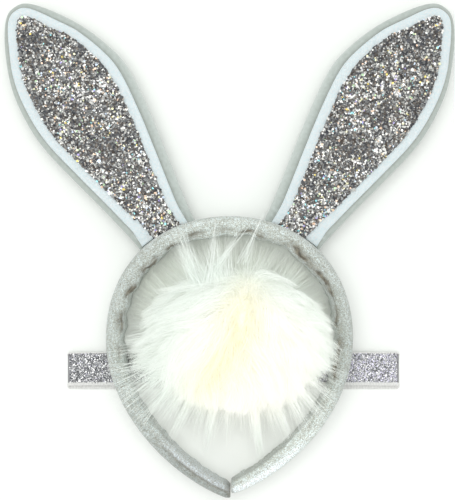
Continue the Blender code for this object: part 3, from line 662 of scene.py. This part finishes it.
def flakes(centres, radii, tilt, heights, rng):
    """The corners of small chips of glitter, each with its own size, turn and tilt."""
    count = len(centres)
    size = rng.uniform(*radii, count) * np.where(rng.random(count) < LARGE_FLAKES, LARGE_GROWTH, 1)
    turn = rng.uniform(0, 2 * math.pi, count)
    lean = np.tan(np.radians(rng.uniform(0, tilt, count)))
    towards = rng.uniform(0, 2 * math.pi, count)
    z = rng.uniform(*heights, count)
    points = np.zeros((count, FLAKE_SIDES, 3))
    for k in range(FLAKE_SIDES):
        angle = turn + k * 2 * math.pi / FLAKE_SIDES
        dx, dy = np.cos(angle) * size, np.sin(angle) * size
        points[:, k, 0] = centres[:, 0] + dx
        points[:, k, 1] = centres[:, 1] + dy
        points[:, k, 2] = z + lean * (dx * np.cos(towards) + dy * np.sin(towards))
    return points.reshape(-1, 3)


def glitter(name, centres, corners, material, rng, drift=0.0, lift=0.0):
    """A mesh of chips, each with its own tone. Drift gathers like tones, lift makes all lighter."""
    faces = np.arange(len(corners)).reshape(-1, FLAKE_SIDES)
    thing = make_mesh(name, corners, faces, material, smooth=False)
    near = np.array([ripple(x, y, 2.0, DRIFT_SIZE) for x, y in centres])
    broad = np.array([ripple(x, y, 7.0, BROAD_DRIFT_SIZE) for x, y in centres])
    tones = rng.uniform(0, 1, len(centres)) + (near + BROAD_DRIFT * broad) * drift + lift
    give_attribute(thing, "tone", np.clip(tones, 0, 0.999), "FACE")
    return thing


def ear_cover(name, side, outline, spine, trim_line, material):
    """The velvet cover of an ear: a padded rim round the inlay, and the back."""
    rings = layer_rings(outline, spine, RIM_HEIGHTS, BACK_HEIGHTS, COVER_LUMPS)
    cover = ear_layer(f"{name}_ear_cover", side, rings, material)
    from_trim = distance_to(trim_line, rings.reshape(-1, 3))
    # Painted shade beside the trim and painted light farther out on the rim
    give_attribute(cover, "fold", CREASE_SHADE * np.exp(-((from_trim / CREASE_WIDTH) ** 2)))
    pale = np.clip((from_trim - RIM_LIGHT_START) / RIM_LIGHT_RANGE, 0, 1)
    give_attribute(cover, "pale", RIM_LIGHT * pale)
    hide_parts(*(f"{name}_ear_{part}" for part in ("back", "front", "padding", "anchor")))
    return cover


def ear_glitter(name, side, sheet_line, material):
    """The chips on an ear's glitter sheet."""
    rng = np.random.default_rng(EAR_SEED + side)
    centres = jittered_grid(sheet_line.min(0), sheet_line.max(0), FLAKE_PITCH, rng)
    centres = centres[inside(sheet_line, centres)]
    corners = ear_world(flakes(centres, FLAKE_RADIUS, FLAKE_TILT, FLAKE_HEIGHTS, rng), side)
    return glitter(f"{name}_ear_glitter_flakes", centres, corners, material, rng, FLAKE_DRIFT, FLAKE_LIFT)


def declare_inlay(node):
    """Hides the node that an inlay stands for."""
    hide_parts(node)


def build_ear(side, materials):
    name = SIDE_NAMES[side]
    outline, side_count = ear_outline()
    spine = spine_points(outline, side_count)
    trim_line, sheet_line = inlay_outline(TRIM_INSET), glitter_outline()
    cover = ear_cover(name, side, outline, spine, trim_line, materials["ear_velvet"])
    rings = layer_rings(trim_line, spine, TRIM_FRONT, TRIM_BACK, TRIM_LUMPS)
    trim = ear_layer(f"{name}_ear_trim_plush", side, rings, materials["plush_trim"])
    rings = layer_rings(sheet_line, spine, GLITTER_FRONT, GLITTER_BACK)
    sheet = ear_layer(f"{name}_ear_glitter_sheet", side, rings, materials["glitter_backing"])
    chips = ear_glitter(name, side, sheet_line, materials["chunky_glitter"])
    slots = ((cover, "velvet"), (trim, "plush_trim"), (sheet, "glitter_sheet"), (chips, "glitter_sheet"))
    for piece, slot in slots:
        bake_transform(piece)
    declare_inlay(f"{name}_ear_trim")
    declare_inlay(f"{name}_ear_glitter")


# Tail


def ring_reach():
    """How far from the ball's middle the hoop's inner wall is, at each direction."""
    spots = []
    for side in (LEFT, RIGHT):
        for arc in np.arange(0, HOOP_LENGTH[side], REACH_STEP):
            here, inwards = hoop_frame(side, arc)
            spots.append(here + inwards * (hoop_section(side, arc)[0] + BAND_CLEARANCE))
    spots = np.array(spots) - BALL[:2]
    angles = np.arctan2(spots[:, 1], spots[:, 0])
    order = np.argsort(angles)
    return angles[order], np.linalg.norm(spots, axis=1)[order]


def keep_clear(lines):
    """Keeps strands above the surface and the elastic, and either inside the hoop or lying over its top."""
    angles, reaches = ring_reach()
    flat = lines[..., :2] - BALL[:2]
    distance = np.maximum(np.linalg.norm(flat, axis=-1), 1e-6)
    reach = np.interp(np.arctan2(flat[..., 1], flat[..., 0]), angles, reaches, period=2 * math.pi)
    beyond = distance > reach
    first = np.argmax(beyond, axis=1)[:, None]
    over = np.take_along_axis(lines[..., 2], first, axis=1) > BAND_TOP - BAND_SLACK
    share = np.where(beyond & ~over, reach / distance, 1.0)
    lines[..., :2] = BALL[:2] + flat * share[..., None]
    height = np.where(beyond & over, np.maximum(lines[..., 2], BAND_TOP), lines[..., 2])
    lines[..., 2] = np.clip(height, FUR_BOTTOM, FUR_TOP)
    return lines


def unit(vectors):
    return vectors / np.maximum(np.linalg.norm(vectors, axis=-1, keepdims=True), 1e-9)


def beside_parting(points):
    """How far to the right of the parting each place is, seen from above."""
    return points[:, 0] - np.interp(-points[:, 1], -np.array(PARTING_Y), PARTING_X)


def comb(points, turn):
    """The way in which fur lies: away from the crest and the parting, with a swirl and a droop."""
    x, y = points[:, 0], points[:, 1]
    beside = beside_parting(points)
    flow = unit(points[:, :2] - CREST) - (0, FALL)
    for side in (LEFT, RIGHT):
        away = np.maximum(beside * side, 0)
        push = PARTING_PUSH[side] * np.exp(-away / PARTING_REACH[side]) * (away > 0)
        flow[:, 0] += side * push * np.clip((PARTING_START - y) / PARTING_FADE, 0, 1)
    flow = unit(flow)
    turn = turn + SWIRL * np.sin(x / 8.0 + 0.7) * np.sin(y / 9.0 + x / 15)
    cosine, sine = np.cos(turn), np.sin(turn)
    level_x = flow[:, 0] * cosine - flow[:, 1] * sine
    level_y = flow[:, 0] * sine + flow[:, 1] * cosine
    return np.column_stack([level_x, level_y, np.full(len(points), -DROOP)])


def trace(normals, lengths, layers, turns):
    """Strands as rows of points: out from the skin, up to their own layer, then along the comb."""
    here = BALL + normals * SKIN_RADIUS
    way = normals.copy()
    line = [here]
    for i in range(1, STRAND_POINTS):
        way = unit(way * (1 - BEND) + comb(here, turns) * BEND)
        here = here + way * lengths[:, None] / (STRAND_POINTS - 1)
        size = np.linalg.norm((here - BALL) / UNDERCOAT, axis=1)
        wanted = layers * min(0.6 + 1.2 * i / (STRAND_POINTS - 1), 1)
        here = BALL + (here - BALL) * np.maximum(wanted / size, 1)[:, None]
        line.append(here)
    return np.stack(line, axis=1)


def clump_heads():
    """The way out from the ball's middle to each clump, spread evenly over all but its underside."""
    k = np.arange(CLUMPS)
    height = 1 - (1 - LOWEST_ROOT) * (k + 0.5) / CLUMPS
    angle = k * math.pi * (3 - math.sqrt(5))
    across = np.sqrt(1 - height**2)
    return np.column_stack([np.cos(angle) * across, np.sin(angle) * across, height])


def strand_lines(rng):
    """Every strand of the ball, each drawn to its clump's leader."""
    heads = clump_heads()
    lengths = rng.uniform(*STRAND_LENGTH, CLUMPS) * (1 - LOWER_SHORTENING * np.maximum(-heads[:, 1], 0))
    for side, share in SIDE_SHORTENING.items():
        lengths *= 1 - share * np.maximum(heads[:, 0] * side, 0)
    layers = rng.uniform(*LAYERS, CLUMPS)
    turns = rng.normal(0, CLUMP_TURN, CLUMPS)
    leaders = trace(heads, lengths, layers, turns)
    clump = rng.integers(0, CLUMPS, STRANDS)
    normals = unit(heads[clump] + rng.normal(0, ROOT_SPREAD, (STRANDS, 3)))
    lengths = lengths[clump] * rng.uniform(*LENGTH_SPREAD, STRANDS)
    layers = layers[clump] + rng.normal(0, LAYER_SPREAD, STRANDS)
    lines = trace(normals, lengths, layers, turns[clump] + rng.normal(0, STRAND_TURN, STRANDS))
    gather = GATHER * np.linspace(0, 1, STRAND_POINTS)[None, :, None] ** GATHER_CURVE
    return lines * (1 - gather) + leaders[clump] * gather


def tuft_lines(rng):
    """Stray tufts that reach out over the hoop and into the ring's corners."""
    t = np.linspace(0, 1, STRAND_POINTS)[None, :, None]
    lines = []
    for start, end, spread, count in TUFTS:
        root = start + rng.normal(0, TUFT_ROOT, (count, 3))
        tip = end + rng.normal(0, spread, (count, 3)) * (1, 1, TUFT_FLATNESS)
        tip = root + (tip - root) * rng.uniform(*TUFT_REACH, (count, 1))
        middle = (root + tip) / 2 + (0, 0, TUFT_ARCH) + rng.normal(0, ARCH_SPREAD, (count, 3))
        root, middle, tip = root[:, None], middle[:, None], tip[:, None]
        lines.append((1 - t) ** 2 * root + 2 * t * (1 - t) * middle + t * t * tip)
    return np.concatenate(lines)


def fur_ribbons(lines, rng):
    """A narrow ribbon along each strand, as two points for each of the strand's points."""
    along = unit(np.gradient(lines, axis=1))
    side = unit(np.cross(along, rng.normal(0, 1, (len(lines), 1, 3))))
    half = np.linspace(1, TIP_WIDTH, STRAND_POINTS)[None, :, None] * STRAND_WIDTH / 2
    return np.stack([lines - side * half, lines + side * half], axis=2)


def tint_fur(fur, points, count, rng):
    """What the fur's material reads: how near the tip, how cool and how golden a place is, which set its
    painted light and shade, and how shaded a strand is.
    """
    each = 2 * STRAND_POINTS
    # Painted gold scattered light along the parting, stronger for some strands
    across, along = beside_parting(points) / GOLDEN_REACH[0], (points[:, 1] - GOLDEN_Y) / GOLDEN_REACH[1]
    golden = np.exp(-(across**2) - along**4) * np.repeat(rng.uniform(*GOLDEN_SPREAD, count), each)
    away = np.linalg.norm(points[:, :2] - COOL_MIDDLE, axis=1) / COOL_REACH
    dim = np.clip((DIM_TOP - points[:, 2]) / DIM_FADE, 0, 1) * (points[:, 1] > DIM_Y)
    give_attribute(fur, "tip", np.tile(np.repeat(np.linspace(0, 1, STRAND_POINTS), 2), count))
    # Painted cool shade towards the thin outskirts and in the band's shade, painted warm light in the
    # middle
    give_attribute(fur, "cool", np.clip(away, 0, MOST_COOL) + (1 - MOST_COOL) * dim)
    give_attribute(fur, "golden", golden)
    give_attribute(fur, "shade", np.repeat(rng.uniform(*SHADE_SPREAD, count), each))


def build_fur(materials):
    rng = np.random.default_rng(FUR_SEED)
    ribbons = fur_ribbons(keep_clear(np.concatenate([strand_lines(rng), tuft_lines(rng)])), rng)
    quads = np.array([(i, i + 1, i + 3, i + 2) for i in range(0, 2 * STRAND_POINTS - 2, 2)])
    for index, part in enumerate(np.array_split(ribbons, FUR_PIECES)):
        count = len(part)
        starts = np.arange(count) * STRAND_POINTS * 2
        faces = (quads[None] + starts[:, None, None]).reshape(-1, 4).tolist()
        points = part.reshape(-1, 3)
        fur = make_mesh(f"tail_fur_strands_{index + 1}", points, faces, materials["long_fur"], smooth=False)
        fur.data.shade_smooth()
        tint_fur(fur, points, count, rng)
        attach(fur, "tail")
    undercoat(materials["short_fur"])


def undercoat(material):
    """The dense short fur under the strands, as a lumpy ball."""
    shape = bmesh.new()
    bmesh.ops.create_icosphere(shape, subdivisions=6, radius=1)
    for vertex in shape.verts:
        direction = vertex.co.copy()
        swell = 1 + sum(height * noise.noise(direction * fineness) for fineness, height in UNDERCOAT_LUMPS)
        vertex.co = Vector([direction[i] * UNDERCOAT[i] for i in range(3)]) * swell
        vertex.co.z = max(vertex.co.z, UNDERCOAT_FOOT - BALL[2])
    points = [Vector(BALL) + v.co for v in shape.verts]
    faces = [[v.index for v in f.verts] for f in shape.faces]
    ball = make_mesh("tail_undercoat", points, faces, material)
    shape.free()
    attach(ball, "tail")
    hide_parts("tail_fur", "tail_stuffing")


def elastic_fold(x, middle_z, radius, start):
    """The band's fold at one end, clockwise from an angle."""
    path = []
    for i in range(FOLD_SPANS + 1):
        angle = math.radians(start - 180 * i / FOLD_SPANS)
        c, s = math.cos(angle), math.sin(angle)
        path.append((x + c * radius, middle_z + s * radius, c, s, (1 + s) / 2))
    return path


def elastic_path(left, right, middle_z, radius):
    """The band's middle line: x, z, the way outwards, and how far up the loop it is."""
    upper = [(x, middle_z + radius, 0, 1, 1.0) for x in np.arange(left, right, BAND_STEP)]
    lower = [(x, middle_z - radius, 0, -1, 0.0) for x in np.arange(right, left, -BAND_STEP)[1:]]
    right_fold = elastic_fold(right, middle_z, radius, 90)
    left_fold = elastic_fold(left, middle_z, radius, 270)
    return upper + right_fold + lower + left_fold


def elastic_points(path, low, high):
    """The band's points, ring by ring, and where its upper face is ground for glitter."""
    half, thick = ELASTIC_WIDTH / 2, ELASTIC_THICK / 2
    soft = EDGE_SOFTNESS
    across = [-half, -half + 2 * soft, low, low + soft, 0, high - soft, high, half - soft, half]
    relief = [0, 0, 0, -WEAVE_DEPTH, -WEAVE_DEPTH, -WEAVE_DEPTH, 0, 0, 0]
    points, ground = [], []
    for x, z, nx, nz, upper in path:
        shift = ELASTIC_Y + BACK_SHIFT * (1 - upper)
        waver = ripple(x, upper * 20, 0, WAVER_SIZE) * WAVER
        for y, rise in zip(across, relief):
            points.append((x + nx * (thick + rise), shift + y + waver, z + nz * (thick + rise)))
            ground.append(1.0 if rise < 0 and upper > 0.5 else 0.0)
        for y in reversed(across):
            points.append((x - nx * thick, shift + y + waver, z - nz * thick))
            ground.append(0.0)
    return points, ground


def elastic_glitter(low, high, material):
    """Fine chips on the band's upper face, at both sides of the part that the fur hides."""
    rng = np.random.default_rng(ELASTIC_SEED)
    grid = jittered_grid(low, high, FINE_FLAKE_PITCH, rng)
    top = 2 * ELASTIC_THICK + RUN_GAP
    heights = (top - FINE_FLAKE_HEIGHT, top)
    for side, name in SIDE_NAMES.items():
        centres = grid[grid[:, 0] * side > GLITTER_SHOWN]
        corners = flakes(centres, FINE_FLAKE_RADIUS, FINE_FLAKE_TILT, heights, rng)
        lift = GLITTER_LIFT[side]
        chips = glitter(f"{name}_elastic_glitter", centres, corners, material, rng, lift=lift)
        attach(chips, "tail")


def build_elastic(materials):
    """The folded loop of elastic, with raised selvedges, and the glitter on its upper face."""
    middle_z = RUN_GAP / 2 + ELASTIC_THICK
    radius = middle_z - ELASTIC_THICK / 2
    left, right = ELASTIC_ENDS[0] + middle_z, ELASTIC_ENDS[1] - middle_z
    low, high = SELVEDGES[0] - ELASTIC_WIDTH / 2, ELASTIC_WIDTH / 2 - SELVEDGES[1]
    path = elastic_path(left, right, middle_z, radius)
    points, ground = elastic_points(path, low, high)
    faces = loop_faces(len(path), len(points) // len(path))
    band = make_mesh("elastic_band", points, faces, materials["woven_elastic"])
    give_attribute(band, "ground", ground)
    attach(band, "tail")
    nodes = ("front", "back", "left_fold", "right_fold", "lap_join")
    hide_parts(*(f"elastic_{node}" for node in nodes))
    elastic_glitter((left, ELASTIC_Y + low), (right, ELASTIC_Y + high), materials["fine_glitter"])


# Materials

VELVET = {"Roughness": 0.9, "Sheen_Weight": 0.3, "Sheen_Roughness": 0.5}
BRUSHED = ((0.385, 0.432, 0.4), (0.51, 0.57, 0.545))
GRAIN = ((0.62, 0.58, 0.54), (1.4, 1.41, 1.45))
SPECKLE = ((0.95, 0.91, 0.87), (1.07, 1.08, 1.1))
# Painted sheen on the hoop's velvet
PAINTED_SHEEN = (0.65, 0.72, 0.76)
# Painted shade in the hoop's folds, seam and tape and on the left tip's end
FOLD_SHADE = ((0.075, 0.067, 0.05), (0.26, 0.24, 0.185))
EAR_NAP = ((0.4, 0.45, 0.415), (0.47, 0.525, 0.495))
# Painted light on the ear's rim away from the inlay, and painted shade beside it
EAR_PAINTED_LIGHT, EAR_CREASE_SHADE = (0.66, 0.72, 0.69), (0.2, 0.2, 0.17)
FUR_PAINTED_LIGHT = (  # painted light and shade, from the ball's middle outwards: warm scattered light, then cool grey-green shade
    (0.0, (0.98, 0.965, 0.87)),
    (0.46, (0.97, 0.975, 0.93)),
    (0.68, (0.86, 0.915, 0.885)),
    (0.88, (0.73, 0.805, 0.77)),
    (1.0, (0.6, 0.67, 0.61)),
)
# Painted light: whiter strand tips, and gold scattered light in the parting
LIT_TIP, GOLDEN_SCATTER = (0.97, 0.98, 0.94), (0.985, 0.95, 0.72)
CHUNKY_TONES_AND_GLINTS = (  # the share of chips below each tone, and its colour: the chips' own colours, with painted glints in the whites and painted dark reflections among the darkest tones
    (0.0, (0.042, 0.046, 0.055)),
    (0.13, (0.068, 0.054, 0.043)),
    (0.26, (0.11, 0.115, 0.115)),
    (0.38, (0.17, 0.15, 0.125)),
    (0.48, (0.23, 0.24, 0.24)),
    (0.64, (0.47, 0.475, 0.45)),
    (0.76, (0.77, 0.78, 0.74)),
    (0.84, (1.0, 1.0, 0.96)),
    (0.88, (0.92, 0.68, 0.5)),
    (0.905, (0.93, 0.92, 0.6)),
    (0.922, (0.68, 0.8, 0.95)),
    (0.936, (0.35, 0.78, 0.84)),
    (0.946, (0.55, 0.8, 0.5)),
    (0.955, (0.9, 0.74, 0.2)),
    (0.964, (0.42, 0.36, 0.72)),
    (0.972, (1.0, 1.0, 1.0)),
)
# Partly painted glints: the whites stand for chips that catch the light
FINE_TONES_AND_GLINTS = (
    (0.0, (0.05, 0.055, 0.06)),
    (0.28, (0.18, 0.19, 0.2)),
    (0.5, (0.46, 0.48, 0.49)),
    (0.68, (1.0, 1.0, 1.0)),
    (0.94, (0.72, 0.7, 0.86)),
)
FLOOR_COLOURS = ((0.915, 0.942, 0.91), (0.93, 0.952, 0.925))
WOVEN, ELASTIC_GROUND = ((0.72, 0.73, 0.7), (0.88, 0.88, 0.86)), (0.3, 0.3, 0.31)


class Nodes:
    """A material's node tree, with the few nodes that the materials below share."""

    def __init__(self, name, **values):
        self.material = bpy.data.materials.new(name)
        self.material.use_nodes = True
        self.tree = self.material.node_tree
        self.shader = self.tree.nodes["Principled BSDF"]
        self.coordinates = self.tree.nodes.new("ShaderNodeTexCoord").outputs["Object"]
        for key, value in values.items():
            self.put(value, self.shader.inputs[key.replace("_", " ")])

    def put(self, value, socket):
        """Sets a socket to a number or colour, or links another node's output to it."""
        if isinstance(value, bpy.types.NodeSocket):
            self.tree.links.new(value, socket)
        else:
            socket.default_value = (*value, 1) if socket.type == "RGBA" else value

    def node(self, kind, **inputs):
        node = self.tree.nodes.new(f"ShaderNode{kind}")
        for key, value in inputs.items():
            self.put(value, node.inputs[key])
        return node

    def noise(self, scale, detail, at=None):
        node = self.node("TexNoise", Scale=scale, Detail=detail, Vector=at or self.coordinates)
        return node.outputs["Fac"]

    def mottle(self, colours, scale, detail, span=(0.3, 0.7), at=None):
        """Noise turned into a mottle of two colours, each pure beyond its end of the span."""
        return self.ramp(self.noise(scale, detail, at), list(zip(span, colours)))

    def attribute(self, name, output="Fac"):
        node = self.node("Attribute")
        node.attribute_name = name
        return node.outputs[output]

    def ramp(self, source, stops, interpolation="LINEAR"):
        node = self.node("ValToRGB", Fac=source)
        node.color_ramp.interpolation = interpolation
        elements = node.color_ramp.elements
        while len(elements) < len(stops):
            elements.new(1.0)
        for element, (position, colour) in zip(elements, stops):
            element.position = position
            element.color = (*colour, 1)
        return node.outputs["Color"]

    def mix(self, factor, a, b, kind="MIX"):
        node = self.node("Mix")
        node.data_type = "RGBA"
        node.blend_type = kind
        sockets = {s.identifier: s for s in node.inputs}
        for key, value in (("Factor_Float", factor), ("A_Color", a), ("B_Color", b)):
            self.put(value, sockets[key])
        return next(s for s in node.outputs if s.identifier == "Result_Color")

    def times(self, a, b):
        return self.mix(1.0, a, b, "MULTIPLY")

    def colour(self, source):
        self.put(source, self.shader.inputs["Base Color"])

    def bump(self, source, distance):
        node = self.node("Bump", Distance=distance, Strength=1.0, Height=source)
        self.put(node.outputs["Normal"], self.shader.inputs["Normal"])


def hoop_velvet_material():
    """Brushed velvet whose streaks run along the hoop."""
    nodes = Nodes("hoop_velvet", **VELVET)
    nap = nodes.attribute("nap", "Vector")
    brushed = nodes.mottle(BRUSHED, 600, 5, at=nap)
    grain = nodes.mottle(GRAIN, 2300, 2, span=(0.34, 0.66))
    speckle = nodes.mottle(SPECKLE, 1000, 3, span=(0.38, 0.62))
    grain = nodes.times(grain, speckle)
    cloth = nodes.times(brushed, grain)
    # Painted sheen, mixed in where the pale attribute says
    pale = nodes.times(PAINTED_SHEEN, grain)
    cloth = nodes.mix(nodes.attribute("pale"), cloth, pale)
    # Painted light and shade, from the shade attribute
    cloth = nodes.times(cloth, nodes.attribute("shade", "Color"))
    # Painted shade where the fold attribute says
    fold_shade = nodes.mottle(FOLD_SHADE, 1500, 4, span=(0.35, 0.7), at=nap)
    nodes.colour(nodes.mix(nodes.attribute("fold"), cloth, fold_shade))
    nodes.bump(nodes.noise(1900, 3), 0.00015)
    return nodes.material


def ear_velvet_material():
    """The same velvet, smooth over the ear's padded rim, with painted shade beside the inlay and painted
    light outside it.
    """
    nodes = Nodes("ear_velvet", **VELVET)
    cloth = nodes.mottle(EAR_NAP, 500, 4)
    # Painted light away from the inlay, then painted shade beside it
    cloth = nodes.mix(nodes.attribute("pale"), cloth, EAR_PAINTED_LIGHT)
    nodes.colour(nodes.mix(nodes.attribute("fold"), cloth, EAR_CREASE_SHADE))
    nodes.bump(nodes.noise(1900, 3), 0.0001)
    return nodes.material


def cloth_material(name, low, high, scale, roughness=0.9, sheen=0.2, bump=0.0002, glow=0.0):
    """A plain material, mottled between two colours at a scale."""
    glow = {"Emission_Strength": glow, "Emission_Color": GLOW_COLOUR}
    nodes = Nodes(name, Roughness=roughness, Sheen_Weight=sheen, **glow)
    nodes.colour(nodes.mottle((low, high), scale, 4))
    nodes.bump(nodes.noise(scale * 5, 3), bump)
    return nodes.material


def fur_material(name):
    """Painted scattered light, cream in the ball's middle and gold in its parting, and painted cool
    grey-green shade at its thin outskirts.
    """
    glow = {"Emission_Strength": FUR_GLOW, "Emission_Color": GLOW_COLOUR}
    nodes = Nodes(name, Roughness=0.6, Sheen_Weight=0.2, **glow)
    # Painted warm light in the middle, painted cool shade outwards
    hair = nodes.ramp(nodes.attribute("cool"), FUR_PAINTED_LIGHT)
    # Painted light: strand tips lighter than their roots
    lit_tips = nodes.mix(0.4, hair, LIT_TIP)
    hair = nodes.mix(nodes.attribute("tip"), hair, lit_tips)
    # Painted gold scattered light in the parting
    hair = nodes.mix(nodes.attribute("golden"), hair, GOLDEN_SCATTER)
    nodes.colour(nodes.times(hair, nodes.attribute("shade", "Color")))
    nodes.bump(nodes.noise(2500, 2), 0.0001)
    return nodes.material


def flake_material(name, stops, metallic):
    """Chips whose colour is one of some tones, chosen by each chip's own number; some tones are painted
    glints.
    """
    nodes = Nodes(name, Roughness=0.3, Metallic=metallic)
    nodes.colour(nodes.ramp(nodes.attribute("tone"), stops, "CONSTANT"))
    nodes.bump(nodes.noise(3000, 1), 0.00005)
    return nodes.material


def elastic_material():
    nodes = Nodes("woven_elastic", Roughness=0.8)
    wave = nodes.node("TexWave", Scale=420, Distortion=1.5, Vector=nodes.coordinates).outputs["Fac"]
    woven = nodes.ramp(wave, list(zip((0, 1), WOVEN)))
    nodes.colour(nodes.mix(nodes.attribute("ground"), woven, ELASTIC_GROUND))
    nodes.bump(wave, 0.0002)
    return nodes.material


# The plain materials: two colours, a scale, and what differs from a matt cloth
PLAIN_MATERIALS = {
    "plush_trim": ((0.8, 0.965, 1.0), (0.95, 1.0, 1.0), 1300, {"sheen": 0.25, "bump": 0.0005}),
    "glitter_backing": ((0.09, 0.088, 0.085), (0.18, 0.175, 0.17), 900, {}),
    "short_fur": ((0.92, 0.91, 0.79), (0.95, 0.94, 0.85), 250, {"bump": 0.0004, "glow": FUR_GLOW}),
    "foam_wadding": ((0.7, 0.68, 0.6), (0.8, 0.78, 0.7), 500, {}),
    "moulded_plastic": ((0.05, 0.045, 0.04), (0.07, 0.065, 0.06), 200, {"roughness": 0.45, "sheen": 0.0}),
    "white_felt": ((0.7, 0.7, 0.68), (0.85, 0.85, 0.83), 700, {}),
    "spun_thread": ((0.72, 0.72, 0.7), (0.88, 0.88, 0.85), 1500, {}),
    "drawn_wire": ((0.45, 0.45, 0.47), (0.6, 0.6, 0.62), 900, {"roughness": 0.35, "sheen": 0.0}),
}
CAD_MATERIALS = {  # by the last word of a node's name, and velvet for the rest
    "core": "moulded_plastic",
    "padding": "foam_wadding",
    "wire": "drawn_wire",
    "disc": "white_felt",
    "tack": "spun_thread",
    "gather": "spun_thread",
}


def make_materials():
    materials = {
        "hoop_velvet": hoop_velvet_material(),
        "ear_velvet": ear_velvet_material(),
        "chunky_glitter": flake_material("chunky_glitter", CHUNKY_TONES_AND_GLINTS, 0.25),
        "fine_glitter": flake_material("fine_glitter", FINE_TONES_AND_GLINTS, 0.3),
        "long_fur": fur_material("long_fur"),
        "woven_elastic": elastic_material(),
    }
    for name, (low, high, scale, rest) in PLAIN_MATERIALS.items():
        materials[name] = cloth_material(name, low, high, scale, **rest)
    return materials


def paint_cad_nodes(nodes, materials):
    for name, node in nodes.items():
        chosen = CAD_MATERIALS.get(name.split("_")[-1], "ear_velvet")
        for slot in node.material_slots:
            slot.material = materials[chosen]


# Stage


def build_stage():
    """A pale floor, a soft white sky and one wide lamp above."""
    scene = bpy.context.scene
    scene.view_settings.view_transform = "Standard"
    scene.world = bpy.data.worlds.new("soft_white")
    scene.world.use_nodes = True
    sky = scene.world.node_tree.nodes["Background"]
    sky.inputs["Strength"].default_value = SKY_STRENGTH
    sky.inputs["Color"].default_value = (1, 1, 1, 1)
    bpy.ops.mesh.primitive_plane_add(size=FLOOR_SIZE)
    floor = bpy.context.object
    floor.name = "floor"
    floor.data.materials.append(cloth_material("pale_floor", *FLOOR_COLOURS, 2, sheen=0.0))
    light = bpy.data.lights.new("overhead", "AREA")
    light.size = LAMP_SIZE
    light.energy = LAMP_POWER
    lamp = add("overhead", light)
    lamp.location = LAMP_PLACE
    lamp.rotation_euler = (-Vector(LAMP_PLACE)).to_track_quat("-Z", "Y").to_euler()


def build_camera():
    camera = add("camera", bpy.data.cameras.new("camera"))
    camera.location = Vector(CAMERA_PLACE) * MM
    camera.data.lens = CAMERA_LENS
    camera.data.clip_start = CAMERA_NEAR
    bpy.context.scene.camera = camera


def main():
    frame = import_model()
    build_stage()
    build_camera()
    materials = make_materials()
    paint_cad_nodes(frame["nodes"], materials)
    build_hoop(materials)
    for side in (LEFT, RIGHT):
        build_ear(side, materials)
    build_fur(materials)
    build_elastic(materials)


main()
